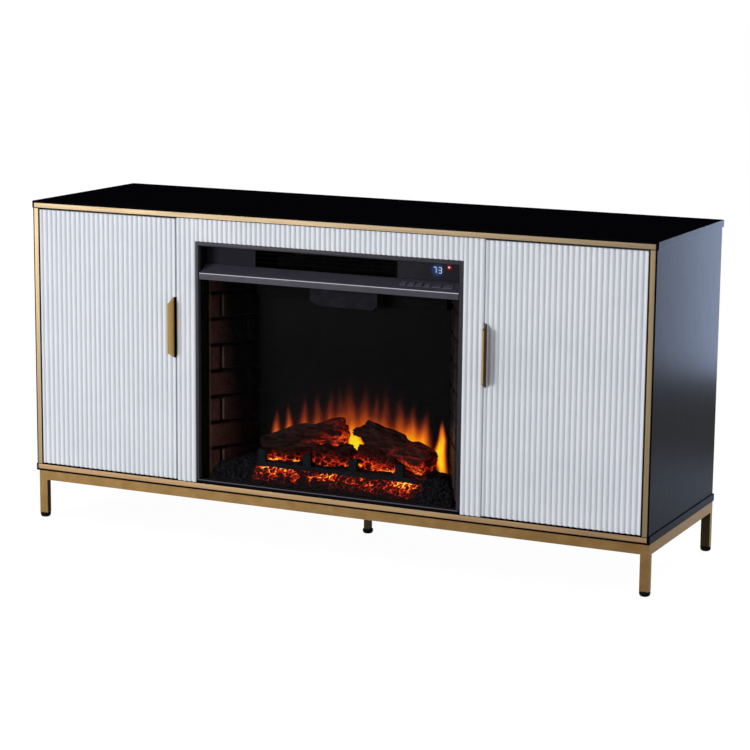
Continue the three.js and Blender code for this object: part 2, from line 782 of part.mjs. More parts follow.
// Side panels of moulded brick, on a line that draws in towards the screen
const splayAngle = Math.atan(brickSplayShare);
const wallX = (y) => bezelInner - brickSplayShare * y;
const wallLength = (brickEnd - brickStart) / Math.cos(splayAngle);
const panelLow = floorTop + seatGap;
const panelHigh = deckLow - seatGap;
const courseCount = Math.ceil((panelHigh + courseDrop) / brickCourse);

// Local frame: X runs along the wall from its front end, and the thickness lies to the outer side
function brickWall(sign) {
  const slice = (near, far) => span(-sign, near, far);
  const blocks = [];
  for (let course = 0; course < courseCount; course += 1) {
    const joint = course * brickCourse - courseDrop;
    const z0 = Math.max(panelLow, joint + mortarWidth / 2);
    const z1 = Math.min(panelHigh, joint + brickCourse - mortarWidth / 2);
    const firstEdge = course % 2 ? brickHalfOffset : brickHalfOffset + brickLength / 2;
    for (const edge of [firstEdge, firstEdge + brickLength]) {
      const x0 = Math.max(0, edge + mortarWidth / 2 - brickLength);
      const x1 = Math.min(wallLength, edge - mortarWidth / 2);
      if (x1 - x0 > mortarWidth && z1 - z0 > mortarWidth) {
        blocks.push(box(x0, x1, ...slice(0, brickRelief + cutOverrun), z0, z1));
      }
    }
  }
  const backing = box(0, wallLength, ...slice(brickRelief, brickRelief + brickBacking), panelLow, panelHigh);
  return join([backing, ...blocks]);
}

for (const [side, sign] of sides) {
  const mesh = part(firebox, `${side}_brick_panel`, brickWall(sign), "brick");
  mesh.position.set(sign * wallX(brickStart), brickStart, 0);
  mesh.rotation.z = Math.PI / 2 + sign * splayAngle;
}

// Flame screen across the back, and the lamp cover under the deck in front of it
const screenHalfWidth = wallX(brickEnd) + screenLap;
const screen = box(-screenHalfWidth, screenHalfWidth, screenFront, screenBack, panelLow, panelHigh);
part(firebox, "flame_screen", screen, "screen");

const lampBack = screenFront - seatGap;
const lampStripFront = lampBack - lampStripDepth;
const lampHalfWidth = wallX(brickEnd) - lampSideGap;
const lampStrip = box(-lampHalfWidth, lampHalfWidth, lampStripFront, lampBack,
  panelHigh - lampStripDrop, panelHigh);
const blockLow = panelHigh - lampBlockDrop;
const lampBlock = prismY([
  [-lampBlockHalfWidth, panelHigh],
  [-lampBlockHalfWidth, blockLow + lampBlockChamfer],
  [lampBlockSlope - lampBlockHalfWidth, blockLow],
  [lampBlockHalfWidth - lampBlockChamfer, blockLow],
  [lampBlockHalfWidth, blockLow + lampBlockChamfer],
  [lampBlockHalfWidth, panelHigh],
], lampStripFront - lampBlockDepth, lampBack);
part(firebox, "lamp_cover", join([lampStrip, lampBlock]), "blackSheet");

// A log: rings of an uneven circle carried along a straight line between two points
const barkRidgeShare = 0.07;
const barkTurnCount = 3;

function log(start, end, startRadius, endRadius, grow = 0) {
  const from = new THREE.Vector3(...start);
  const along = new THREE.Vector3(...end).sub(from);
  const forward = along.clone().normalize();
  const across = new THREE.Vector3().crossVectors(new THREE.Vector3(0, 0, 1), forward).normalize();
  const upward = new THREE.Vector3().crossVectors(forward, across);
  const positions = [];
  for (let ring = 0; ring < logRingCount; ring += 1) {
    const t = ring / (logRingCount - 1);
    for (let k = 0; k < logSideCount; k += 1) {
      const angle = (2 * Math.PI * k) / logSideCount;
      const wave = Math.sin(barkTurnCount * angle + ring) * Math.cos(ring * barkTurnCount + k);
      const ridge = 1 + barkRidgeShare * wave;
      const radius = (startRadius + (endRadius - startRadius) * t) * ridge + grow;
      const point = from.clone().addScaledVector(along, t);
      point.addScaledVector(across, radius * Math.cos(angle));
      point.addScaledVector(upward, radius * Math.sin(angle));
      positions.push(...point.toArray());
    }
  }
  const first = positions.length / 3;
  positions.push(...from.clone().addScaledVector(forward, -grow).toArray());
  positions.push(...from.clone().add(along).addScaledVector(forward, grow).toArray());
  const faces = [];
  for (let k = 0; k < logSideCount; k += 1) {
    const next = (k + 1) % logSideCount;
    const lastRing = (logRingCount - 1) * logSideCount;
    for (let ring = 0; ring < logRingCount - 1; ring += 1) {
      const a = ring * logSideCount;
      const b = a + logSideCount;
      faces.push(a + k, a + next, b + k, a + next, b + next, b + k);
    }
    faces.push(first, next, k, first + 1, lastRing + k, lastRing + next);
  }
  const shape = new THREE.BufferGeometry();
  shape.setAttribute("position", new THREE.Float32BufferAttribute(positions, 3));
  shape.setIndex(faces);
  shape.computeVertexNormals();
  return shape;
}

// Places across and back, from the sill to the screen
const bedBack = screenFront - runningGap;
const bankFoot = bedFront + bankLead;
const bankCrest = bankFoot + bankRun;
const grateFront = bankCrest + crestDepth;
const bedHalf = wallX(grateFront);

// Log ends, in shares of the bed's half width, its depth and the height of its back, and radii in
// shares of that height. The upper logs lie across the grate and the lower ones belong to the bed.
const upperLogShares = {
  left_log: { start: [-0.69, 0.576, 1.725], end: [0.008, 0.716, 2.314], radii: [0.333, 0.529] },
  right_log: { start: [0.13, 0.735, 2.41], end: [0.765, 0.592, 1.294], radii: [0.51, 0.451] },
};
const lowerLogShares = [
  { start: [-0.223, 0.615, 1.353], end: [0.108, 0.623, 1.333], radii: [0.431, 0.451] },
  { start: [0.177, 0.623, 1.392], end: [0.492, 0.615, 1.255], radii: [0.431, 0.412] },
  { start: [-0.645, 0.592, 1.137], end: [-0.346, 0.6, 1.176], radii: [0.314, 0.353] },
];

function placedLog({ start, end, radii }, grow = 0) {
  const place = ([across, back, up]) => [bedHalf * across, bedBack * back, bedBackHeight * up];
  const [startRadius, endRadius] = radii.map((share) => bedBackHeight * share);
  return log(place(start), place(end), startRadius, endRadius, grow);
}

const logSeats = Object.values(upperLogShares).map((shares) => placedLog(shares, runningGap));
for (const [name, shares] of Object.entries(upperLogShares)) {
  part(firebox, name, placedLog(shares), "bark");
}

// Grate: a bar across the front of the logs with upright fingers
const grateHalf = bedHalf - grateInset;
const grateLeft = grateShift - grateHalf;
const grateRight = grateShift + grateHalf;
const grateBottom = bankCrestHeight + grateLift;
const firstPost = grateLeft + postInset;
const postPitch = (grateRight - postEndSpace - firstPost) / (postCount - 1);
const grateBar = box(grateLeft, grateRight, grateFront, grateFront + grateDepth,
  grateBottom, grateBottom + grateHeight);
const gratePosts = Array.from({ length: postCount }, (_, k) => {
  const x = firstPost + k * postPitch;
  return box(x - postWidth / 2, x + postWidth / 2, grateFront, grateFront + grateDepth,
    grateBottom, grateBottom + grateHeight + postHeight);
});
part(firebox, "grate", cut([grateBar, ...gratePosts], logSeats), "blackSheet");

// Ember bed: a bank of coals rising from the sill, cut to the splayed sides, with the lower logs on it
const bedOutline = [
  [bedFront, panelLow],
  [bedBack, panelLow],
  [bedBack, bedBackHeight],
  [grateFront + bedRiser, bedBackHeight],
  [grateFront, bankCrestHeight],
  [bankCrest, bankCrestHeight],
  [bankFoot, bankFootHeight],
  [bedFront, bedSill],
];
const bankPrism = prismX(bedOutline, -bezelInner, bezelInner);
const shoulders = sides.map(([, sign]) => prismY([
  [sign * grateRight, bedBackHeight],
  [sign * bezelInner, bedSideHeight],
  [sign * bezelInner, fireboxHeight],
  [sign * grateRight, fireboxHeight],
], 0, screenFront));
const bedSide = (y) => wallX(Math.max(y, brickStart)) - bedSideGap;
const bedPlan = [
  [-bedSide(0), 0],
  [bedSide(0), 0],
  [bedSide(brickStart), brickStart],
  [bedSide(bedBack), bedBack],
  [-bedSide(bedBack), bedBack],
  [-bedSide(brickStart), brickStart],
];

// Lumps of coal on both sides, spread by a fixed turn from one to the next
const goldenTurn = Math.PI * (3 - Math.sqrt(5));
const lumpSpreadShare = 0.75;
const lumpPitch = (bedBack - bedFront - 2 * lumpRadius) / (lumpCount - 1);

function coalLumps(sign) {
  return Array.from({ length: lumpCount }, (_, k) => {
    const y = bedFront + lumpRadius + k * lumpPitch;
    const x = sign * (bedSide(y) - lumpRadius * (2 + lumpSpreadShare * Math.sin(k * goldenTurn)));
    const rise = bankFootHeight + ((bedSideHeight - bankFootHeight) * (y - bankFoot)) / (bedBack - bankFoot);
    const lump = new THREE.IcosahedronGeometry(lumpRadius, 1);
    return lump.rotateX(k * goldenTurn).rotateZ(k).translate(x, y, rise);
  });
}

const bedLogs = lowerLogShares.map((shares) => placedLog(shares));
const bank = union([bankPrism]).subtract(union(shoulders));
const bedBlank = bank.add(union([...coalLumps(-1), ...coalLumps(1), ...bedLogs]));
const grateSeat = box(grateLeft - runningGap, grateRight + runningGap, grateFront - runningGap,
  grateFront + grateDepth + runningGap, grateBottom - runningGap, fireboxHeight);
const bedLimit = union([prismZ(bedPlan, panelLow, fireboxHeight)]);
const bed = bedBlank.intersect(bedLimit).subtract(union([grateSeat, ...logSeats]));
part(firebox, "ember_bed", geometryOf(bed), "ember");

// Gland for the supply cord, in the back of the casing
const glandProfile = [
  [glandBore, -glandReach],
  [glandRadius, -glandReach],
  [glandRadius, seatGap],
  [glandFlangeRadius, seatGap],
  [glandFlangeRadius, glandFlangeThickness],
  [glandBore, glandFlangeThickness],
  [glandBore, -glandReach],
].map(([r, z]) => new THREE.Vector2(r, z));
const gland = new THREE.LatheGeometry(glandProfile, roundSides);
part(firebox, "cord_gland", gland, "blackRubber").position.set(glandX, casingBack, glandHeight);

export default stand;
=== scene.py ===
# %% [markdown]
# # A fireplace TV stand
# The stand is a black cabinet with white reeded doors, thin gold trim, a gold tube base and an electric
# firebox in the middle. The frame gives every piece its real size and place, in metres. This script gives
# each piece its finish, and puts a finer surface over the plain solids that show most.

# %% Load the frame
import bmesh
import bpy
import numpy as np
from mathutils import Matrix, Vector


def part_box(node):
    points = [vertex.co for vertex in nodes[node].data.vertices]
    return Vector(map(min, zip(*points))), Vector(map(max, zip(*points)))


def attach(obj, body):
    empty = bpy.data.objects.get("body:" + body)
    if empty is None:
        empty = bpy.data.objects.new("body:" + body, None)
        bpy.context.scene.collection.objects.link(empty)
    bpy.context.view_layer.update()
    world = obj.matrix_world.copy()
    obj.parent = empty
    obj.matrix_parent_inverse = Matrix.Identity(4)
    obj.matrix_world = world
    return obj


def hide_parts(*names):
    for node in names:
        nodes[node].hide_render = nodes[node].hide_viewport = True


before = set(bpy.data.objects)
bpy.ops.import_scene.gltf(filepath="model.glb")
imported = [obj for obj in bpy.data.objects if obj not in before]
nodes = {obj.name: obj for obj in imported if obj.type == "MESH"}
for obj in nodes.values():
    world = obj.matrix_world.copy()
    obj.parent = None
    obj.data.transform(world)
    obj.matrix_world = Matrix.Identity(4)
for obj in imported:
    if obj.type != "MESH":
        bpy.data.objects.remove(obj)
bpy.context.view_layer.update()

# %% [markdown]
# ## Camera
# A product photograph is taken from far away with a long lens, so that the front looks almost square.
# The camera is set by its place, two angles and a small roll. Its three axes are worked out from them:
# the way back from the picture, the way to the right, and their cross product, which points up.

# %% Camera
CAMERA_PLACE = (2.0568, -4.2945, 1.2327)
AZIMUTH, ELEVATION, ROLL = np.radians([25.383, 10.631, 0.544])
LENS = 112.69
SENSOR = 36.0


def camera_matrix(place, azimuth, elevation, roll):
    """Columns right, up and back, with right and up turned by the roll, and the place as the last one."""
    flat = np.cos(elevation)
    back = np.array([np.sin(azimuth) * flat, -np.cos(azimuth) * flat, np.sin(elevation)])
    right = np.array([np.cos(azimuth), np.sin(azimuth), 0.0])
    up = np.cross(back, right)
    matrix = np.eye(4)
    matrix[:3, 0] = right * np.cos(roll) + up * np.sin(roll)
    matrix[:3, 1] = up * np.cos(roll) - right * np.sin(roll)
    matrix[:3, 2] = back
    matrix[:3, 3] = place
    return Matrix(matrix.tolist())


scene = bpy.context.scene
lens = bpy.data.cameras.new("camera")
lens.lens = LENS
lens.sensor_width = SENSOR
camera = bpy.data.objects.new("camera", lens)
camera.matrix_world = camera_matrix(CAMERA_PLACE, AZIMUTH, ELEVATION, ROLL)
scene.collection.objects.link(camera)
scene.camera = camera
scene.view_settings.view_transform = "Standard"
print("camera", np.round(CAMERA_PLACE, 2).tolist())

# %% [markdown]
# ## Nodes in short
# A material is a small graph. `wire` adds one node and fills its sockets, with a plain value or with
# another node's output, so that a pattern can be written in a few lines.


# %% Node helpers
def srgb(code):
    """A colour as it is written for a screen, such as 8c7347, turned into linear light."""
    parts = np.array([int(code[k:k + 2], 16) for k in (0, 2, 4)]) / 255
    linear = np.where(parts <= 0.04045, parts / 12.92, ((parts + 0.055) / 1.055) ** 2.4)
    return (*linear.tolist(), 1.0)


def wire(tree, kind, sockets=None, **settings):
    """Adds a node, sets its properties, and fills its input sockets."""
    node = tree.nodes.new(kind)
    for name, value in settings.items():
        setattr(node, name, value)
    for key, value in (sockets or {}).items():
        if isinstance(value, bpy.types.NodeSocket):
            tree.links.new(value, node.inputs[key])
        else:
            node.inputs[key].default_value = value
    return node


def place_on_piece(tree):
    """Object coordinates: the place on the piece, in metres."""
    return wire(tree, "ShaderNodeTexCoord").outputs["Object"]


def place_axes(tree):
    """The place on the piece, as three numbers called X, Y and Z."""
    return wire(tree, "ShaderNodeSeparateXYZ", {0: place_on_piece(tree)}).outputs


def facing_axes(tree):
    """The direction that a face looks in, as three numbers called X, Y and Z."""
    normal = wire(tree, "ShaderNodeNewGeometry").outputs["Normal"]
    return wire(tree, "ShaderNodeSeparateXYZ", {0: normal}).outputs


def distance(tree, place, point):
    """How far the place is from a point."""
    return wire(tree, "ShaderNodeVectorMath", {0: place, 1: point}, operation="DISTANCE").outputs["Value"]


def stored_value(tree, name):
    """A number that the mesh keeps for each of its points."""
    return wire(tree, "ShaderNodeAttribute", attribute_name=name).outputs["Fac"]


def noise(tree, scale, stretch=(1, 1, 1), detail=3.0):
    """Noise on Object coordinates. Scale is in waves a metre, and stretch squeezes it along each axis."""
    mapped = wire(tree, "ShaderNodeMapping", {"Vector": place_on_piece(tree), "Scale": stretch})
    sockets = {"Vector": mapped.outputs["Vector"], "Scale": scale, "Detail": detail, "Roughness": 0.55}
    return wire(tree, "ShaderNodeTexNoise", sockets).outputs["Fac"]


def span(tree, value, low, high, new_low=0.0, new_high=1.0):
    """Maps low..high to new_low..new_high, held at both ends."""
    sockets = {"Value": value, "From Min": low, "From Max": high, "To Min": new_low, "To Max": new_high}
    return wire(tree, "ShaderNodeMapRange", sockets).outputs["Result"]


def blend_colours(tree, factor, first, second, mode="MIX"):
    """The first colour where the factor is 0 and the second where it is 1."""
    sockets = {0: factor, 6: first, 7: second}
    return wire(tree, "ShaderNodeMix", sockets, data_type="RGBA", blend_type=mode).outputs[2]


def colour_ramp(tree, factor, stops):
    """A row of colours along the factor, each stop a place and a colour code."""
    node = wire(tree, "ShaderNodeValToRGB", {"Fac": factor})
    ramp = node.color_ramp
    while len(ramp.elements) < len(stops):
        ramp.elements.new(0.5)
    for element, (place, code) in zip(ramp.elements, stops):
        element.position = place
        element.color = srgb(code)
    return node.outputs["Color"]


def calculate(tree, operation, first, second):
    """One sum with two numbers or sockets."""
    return wire(tree, "ShaderNodeMath", {0: first, 1: second}, operation=operation).outputs[0]


finishes = {}


def new_finish(name, slot, roughness, metallic=0.0, specular=0.5):
    """Starts a material: constants go on the shader's own sockets, and patterns are wired in after."""
    material = bpy.data.materials.new(name)
    material.use_nodes = True
    tree = material.node_tree
    shader = tree.nodes["Principled BSDF"]
    shader.inputs["Roughness"].default_value = roughness
    shader.inputs["Metallic"].default_value = metallic
    shader.inputs["Specular IOR Level"].default_value = specular
    finishes[name] = (material, slot)
    return tree, shader


def mottled(tree, shader, first, second, scale, stretch=(1, 1, 1), detail=4.0):
    """Two close colours that drift into each other."""
    drift = span(tree, noise(tree, scale, stretch, detail), 0.35, 0.65)
    colour = blend_colours(tree, drift, srgb(first), srgb(second))
    tree.links.new(colour, shader.inputs["Base Color"])
    return colour


def uneven_gloss(tree, shader, low, high, scale, stretch=(1, 1, 1)):
    """Roughness that wanders between two values."""
    value = span(tree, noise(tree, scale, stretch), 0.3, 0.7, low, high)
    tree.links.new(value, shader.inputs["Roughness"])


def light_up(tree, shader, colour, power=1.0):
    """Makes the surface give off light of this colour."""
    tree.links.new(colour, shader.inputs["Emission Color"])
    shader.inputs["Emission Strength"].default_value = power


def relief(tree, shader, height, depth, strength, before=None):
    """Bump whose height socket is scaled to a real depth in metres."""
    sockets = {"Height": height, "Distance": depth, "Strength": strength}
    node = wire(tree, "ShaderNodeBump", sockets)
    if before is not None:
        tree.links.new(before, node.inputs["Normal"])
    tree.links.new(node.outputs["Normal"], shader.inputs["Normal"])
    return node.outputs["Normal"]


def plain_finish(name, slot, gloss, colours, drift, grain, height, detail=2.0):
    """Two close colours and a fine grain. Gloss is the roughness and the specular level, and height is
    the grain's depth and its strength."""
    tree, shader = new_finish(name, slot, gloss[0], specular=gloss[1])
    mottled(tree, shader, *colours, drift)
    relief(tree, shader, noise(tree, grain, detail=detail), *height)


# %% [markdown]
# ## Studio
# The photograph is cut out on white. The world and the floor are therefore pure white to the camera and
# to rays through glass, while the light that falls on the stand stays at a plain level. The floor keeps a
# share of its real shading, so the stand still drops a soft shadow, and reflections of it in gold and
# paint show mostly that real shading, which is dark below the stand.

# %% World and floor
WORLD_LIGHT = 0.38
SHADOW_SHARE = 0.14
REFLECTED_GLOW = 0.13
FLOOR_GLOW = 1.12
FLOOR_SIZE = 60.0


def seen_directly(tree, share, reflected):
    """A share for camera rays and rays through glass, another for reflections, and 0 for the light that
    falls on things."""
    path = wire(tree, "ShaderNodeLightPath").outputs
    direct = calculate(tree, "MAXIMUM", path["Is Camera Ray"], path["Is Transmission Ray"])
    return calculate(tree, "MAXIMUM", calculate(tree, "MULTIPLY", direct, share),
                     calculate(tree, "MULTIPLY", path["Is Glossy Ray"], reflected))


world = bpy.data.worlds.new("studio")
scene.world = world
world.use_nodes = True
sky = world.node_tree
sky.nodes.clear()
strength = span(sky, seen_directly(sky, 1.0, 1.0), 0.0, 1.0, WORLD_LIGHT, 1.02)
backdrop = wire(sky, "ShaderNodeBackground", {"Color": (1, 1, 1, 1), "Strength": strength})
wire(sky, "ShaderNodeOutputWorld", {"Surface": backdrop.outputs[0]})

paper = bpy.data.materials.new("studio_floor")
paper.use_nodes = True
tree = paper.node_tree
tree.nodes.clear()
shaded = wire(tree, "ShaderNodeBsdfDiffuse", {"Color": (0.8, 0.8, 0.8, 1)})
bright = wire(tree, "ShaderNodeEmission", {"Color": (1, 1, 1, 1), "Strength": FLOOR_GLOW})
share = seen_directly(tree, 1 - SHADOW_SHARE, REFLECTED_GLOW)
mixed = wire(tree, "ShaderNodeMixShader", {0: share, 1: shaded.outputs[0], 2: bright.outputs[0]})
wire(tree, "ShaderNodeOutputMaterial", {"Surface": mixed.outputs[0]})

floor_mesh = bpy.data.meshes.new("floor")
corners = np.array([[-1, -1, 0], [1, -1, 0], [1, 1, 0], [-1, 1, 0]]) * FLOOR_SIZE / 2
floor_mesh.from_pydata(corners.tolist(), [], [[0, 1, 2, 3]])
floor_mesh.materials.append(paper)
floor = bpy.data.objects.new("floor", floor_mesh)
scene.collection.objects.link(floor)

# %% Lamps
# Each lamp: place, the point it faces, size, power, and colour
LAMPS = {
    "key": ((-3.4, -4.9, 0.85), (0.0, 0.0, 0.35), 2.2, 230.0, "fefdff"),
    "rim": ((0.67, 1.0, 0.54), (0.68, 0.0, 0.40), 0.68, 10.5, "c4d8ff"),
}
for name, (place, target, size, power, code) in LAMPS.items():
    data = bpy.data.lights.new(name, "AREA")
    data.size = size
    data.energy = power
    data.color = srgb(code)[:3]
    lamp = bpy.data.objects.new(name, data)
    lamp.location = place
    lamp.rotation_euler = (Vector(target) - Vector(place)).to_track_quat("-Z", "Y").to_euler()
    lamp.visible_camera = False
    scene.collection.objects.link(lamp)
print(len(LAMPS), "lamps")

# %% [markdown]
# ## Surfaces from arrays
# Every new piece is a grid of points worked out with numpy. A shell is a pair of arrays, points and
# faces of four corners, so shells can be moved and joined as arrays before they become one mesh.


# %% Grid helpers
def as_points(x, y, z):
    """Arrays of x, y and z, spread to one shape, as an array of points."""
    return np.stack(np.broadcast_arrays(x, y, z), -1)


def grid_faces(rows, columns, wrap_rows=False, wrap_columns=False):
    """Each point of the grid makes a face with its next neighbours along both ways."""
    row = np.arange(rows if wrap_rows else rows - 1)[:, None]
    column = np.arange(columns if wrap_columns else columns - 1)[None, :]
    beside = (column + 1) % columns
    above = (row + 1) % rows * columns
    below = row * columns
    return np.stack([below + column, below + beside, above + beside, above + column], -1).reshape(-1, 4)


def grid_shell(points, wrap_rows=False, wrap_columns=False):
    """A rows by columns grid of points as a shell."""
    rows, columns = points.shape[:2]
    return points.reshape(-1, 3), grid_faces(rows, columns, wrap_rows, wrap_columns)


def join_shells(shells):
    """Several shells as one: each one's faces count on from the points before it."""
    starts = np.cumsum([0] + [len(points) for points, _ in shells[:-1]])
    points = np.concatenate([points for points, _ in shells])
    faces = np.concatenate([faces + start for (_, faces), start in zip(shells, starts)])
    return points, faces


def paired_shell(front, back):
    """A closed body between two grids of the same shape: both sheets, and a band round their edges."""
    rows, columns = front.shape[:2]
    index = np.arange(rows * columns).reshape(rows, columns)
    edge = np.concatenate([index[0, :-1], index[:-1, -1], index[-1, :0:-1], index[:0:-1, 0]])
    ahead = np.roll(edge, -1)
    count = rows * columns
    band = np.stack([edge, ahead, ahead + count, edge + count], -1)
    sheet = grid_faces(rows, columns)
    points = np.concatenate([front.reshape(-1, 3), back.reshape(-1, 3)])
    return points, np.concatenate([sheet, sheet[:, ::-1] + count, band])


def rounded_box(low, high, radius, steps=3):
    """A box with round edges: each direction of a ball, times the radius, is added to the corner of the
    inner box with the same signs. The seams between the quarters are doubled, which makes the flats."""
    low, high = np.array(low, float), np.array(high, float)
    quarter = np.linspace(0, np.pi / 2, steps + 1)
    around = np.concatenate([quarter + turn * np.pi / 2 for turn in range(4)])
    upward = np.concatenate([-quarter[::-1], quarter])
    flat = np.cos(upward)[:, None]
    ball = as_points(flat * np.cos(around), flat * np.sin(around), np.sin(upward)[:, None])
    sign_x, sign_y = (np.repeat(signs, steps + 1) for signs in ([1, -1, -1, 1], [1, 1, -1, -1]))
    signs = as_points(sign_x, sign_y, np.repeat([-1, 1], steps + 1)[:, None])
    points = (low + high) / 2 + signs * ((high - low) / 2 - radius) + ball * radius
    rows, columns = points.shape[:2]
    cap = np.arange(4) * (steps + 1)
    faces = grid_faces(rows, columns, wrap_columns=True)
    caps = np.stack([cap[::-1], (rows - 1) * columns + cap])
    return points.reshape(-1, 3), np.concatenate([faces, caps])


AXES = {"y": [0, 2, 1], "z": [0, 1, 2]}


def turned(profile, centre, axis, sides=32):
    """A lathe surface: a profile point (radius, height), turned by an angle a, lies radius times cos a
    and sin a across the axis, and its height along it."""
    radius, height = np.array(profile, float).T
    angle = np.linspace(0, 2 * np.pi, sides, endpoint=False)
    across = as_points(radius[:, None] * np.cos(angle), radius[:, None] * np.sin(angle), height[:, None])
    return grid_shell(across[..., AXES[axis]] + np.array(centre), wrap_columns=True)


def prism(outline, start, end):
    """An outline of x and z with an even number of points, carried straight from front to back. Each end
    is a strip of faces between points counted from the first one up and from the last one down."""
    x, z = np.array(outline, float).T
    count = len(outline)
    points = as_points(x, np.array([[start], [end]], float), z)
    up = np.arange(count // 2 - 1)
    strip = np.stack([up, up + 1, count - 2 - up, count - 1 - up], -1)
    faces = grid_faces(2, count, wrap_columns=True)
    return points.reshape(-1, 3), np.concatenate([faces, strip[:, ::-1], strip + count])


def rounded_line(points, radius, steps=6):
    """A line with curved corners. At corner C, the points A and B lie one radius away along its two
    sides, and the curve is (1-t)(1-t)A + 2t(1-t)C + ttB."""
    points = np.array(points, float)
    before, corner, after = points[:-2], points[1:-1], points[2:]
    reach = np.broadcast_to(radius, len(corner))[:, None]
    to_before = (before - corner) / np.linalg.norm(before - corner, axis=1, keepdims=True)
    to_after = (after - corner) / np.linalg.norm(after - corner, axis=1, keepdims=True)
    first, last = (corner + reach * to_before)[:, None], (corner + reach * to_after)[:, None]
    t = np.linspace(0, 1, steps + 1)[None, :, None]
    curve = (1 - t) ** 2 * first + 2 * t * (1 - t) * corner[:, None] + t ** 2 * last
    return np.concatenate([points[:1], curve.reshape(-1, points.shape[1]), points[-1:]])


def ripples(points, wavelength, seed, waves=28):
    """A smooth random field: the mean of many plane waves in random directions, scaled to about -1..1."""
    dice = np.random.default_rng(seed)
    ways = dice.normal(size=(waves, 3))
    ways *= (2 * np.pi / wavelength) / np.linalg.norm(ways, axis=1, keepdims=True)
    ways *= dice.uniform(0.6, 1.5, (waves, 1))
    phase = dice.uniform(0, 2 * np.pi, waves)
    return np.cos(points @ ways.T + phase).mean(-1) * np.sqrt(waves) * 0.8


# %% [markdown]
# A shell becomes an object in one place: `build` makes the mesh, merges the doubled points, turns the
# faces outwards and gives it a finish and a body to ride on. Boolean cuts and rounded edges are made
# with modifiers and then settled into the mesh.


# %% Mesh helpers
MERGE = 1e-6
SHARP_ANGLE = 38


def settle(piece):
    """Replaces the mesh by what its modifiers make of it."""
    bpy.context.view_layer.update()
    graph = bpy.context.evaluated_depsgraph_get()
    mesh = bpy.data.meshes.new_from_object(piece.evaluated_get(graph), depsgraph=graph)
    piece.modifiers.clear()
    old = piece.data
    piece.data = mesh
    bpy.data.meshes.remove(old)
    mesh.name = piece.name


def make_object(name, shells, values=None):
    """One mesh object from shells, with point values as attributes, merged and facing outwards."""
    points, faces = join_shells(shells)
    mesh = bpy.data.meshes.new(name)
    mesh.from_pydata(points.tolist(), [], faces.tolist())
    for key, numbers in (values or {}).items():
        attribute = mesh.attributes.new(key, "FLOAT", "POINT")
        attribute.data.foreach_set("value", np.asarray(numbers, np.float32).ravel())
    mesh.validate()
    work = bmesh.new()
    work.from_mesh(mesh)
    bmesh.ops.remove_doubles(work, verts=work.verts, dist=MERGE)
    bmesh.ops.dissolve_degenerate(work, edges=work.edges, dist=MERGE)
    bmesh.ops.recalc_face_normals(work, faces=work.faces)
    work.to_mesh(mesh)
    work.free()
    piece = bpy.data.objects.new(name, mesh)
    scene.collection.objects.link(piece)
    return piece


def combine(piece, others, operation="DIFFERENCE"):
    """Cuts the other shells out of the piece, or joins them to it, one after another."""
    for index, shell in enumerate(others):
        tool = make_object(f"{piece.name}_tool_{index}", [shell])
        modifier = piece.modifiers.new("combine", "BOOLEAN")
        modifier.operation = operation
        modifier.solver = "EXACT"
        modifier.object = tool
        settle(piece)
        bpy.data.objects.remove(tool)


def soften(piece, width, segments=3, angle=40):
    """Rounds every edge that bends by more than the angle."""
    modifier = piece.modifiers.new("soften", "BEVEL")
    modifier.width = width
    modifier.segments = segments
    modifier.limit_method = "ANGLE"
    modifier.angle_limit = np.radians(angle)
    modifier.harden_normals = False
    settle(piece)


def dress(piece, finish, body, stands_for=()):
    """Finish, shading, body and the nodes that the piece stands for."""
    material, slot = finishes[finish]
    piece.data.materials.clear()
    piece.data.materials.append(material)
    piece.data.polygons.foreach_set("use_smooth", np.ones(len(piece.data.polygons), bool))
    piece.data.set_sharp_from_angle(angle=np.radians(SHARP_ANGLE))
    even = piece.modifiers.new("even_shading", "WEIGHTED_NORMAL")
    even.keep_sharp = True
    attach(piece, body)
    if stands_for:
        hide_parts(*stands_for)


def build(name, shells, finish, body, stands_for=(), values=None):
    """A finished piece straight from shells."""
    dress(make_object(name, shells, values), finish, body, stands_for)


def corners_of(name):
    """The lowest and highest corner of a node as two arrays."""
    low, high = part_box(name)
    return np.array(low), np.array(high)


# Pieces that are let into each other leave this much room
SEAT = 0.00025
FRONT = corners_of("top_trim")[0][1]
HEARTH = corners_of("firebox_bezel")[0][2] - SEAT
SIDES = (("left", -1), ("right", 1))
print("front plane", round(FRONT, 4), "hearth", round(HEARTH, 4))

# %% [markdown]
# ## Finishes
# The cabinet's laminate is nearly black with a faint pressed grain. The top is dull, so that it stays
# black at a low angle, and so is the thick band on the front edges. The faces towards the sides are
# glossier and pick up the lamp behind them, and they are also painted a little lighter, as painted light.
# The direction that a face looks in, and how far back a point lies, pick the gloss and that painted
# light. The boards at the back and inside are a plainer, duller black.

# %% Laminate and lacquer
BAND_DEPTH = 0.003
SIDE_GLOSS = 0.028
FADE = 0.0004

tree, shader = new_finish("black_laminate", "black_laminate", 0.3, specular=0.0)
laminate = mottled(tree, shader, "08080b", "0c0c11", 14, (3, 3, 0.6))
uneven_gloss(tree, shader, 0.27, 0.33, 30, (8, 8, 0.5))
towards_side = span(tree, calculate(tree, "ABSOLUTE", facing_axes(tree)["X"], 0.0), 0.5, 0.8)
behind_band = span(tree, place_axes(tree)["Y"], FRONT + BAND_DEPTH, FRONT + BAND_DEPTH + FADE)
side_face = calculate(tree, "MULTIPLY", towards_side, behind_band)
# Faces towards the sides get a lighter colour added: painted light, on top of their real gloss.
side_painted_light = blend_colours(tree, side_face, laminate, srgb("101116"), "ADD")
tree.links.new(side_painted_light, shader.inputs["Base Color"])
tree.links.new(calculate(tree, "MULTIPLY", side_face, SIDE_GLOSS), shader.inputs["Specular IOR Level"])
relief(tree, shader, noise(tree, 260, (4, 4, 0.25)), 0.00002, 0.3)

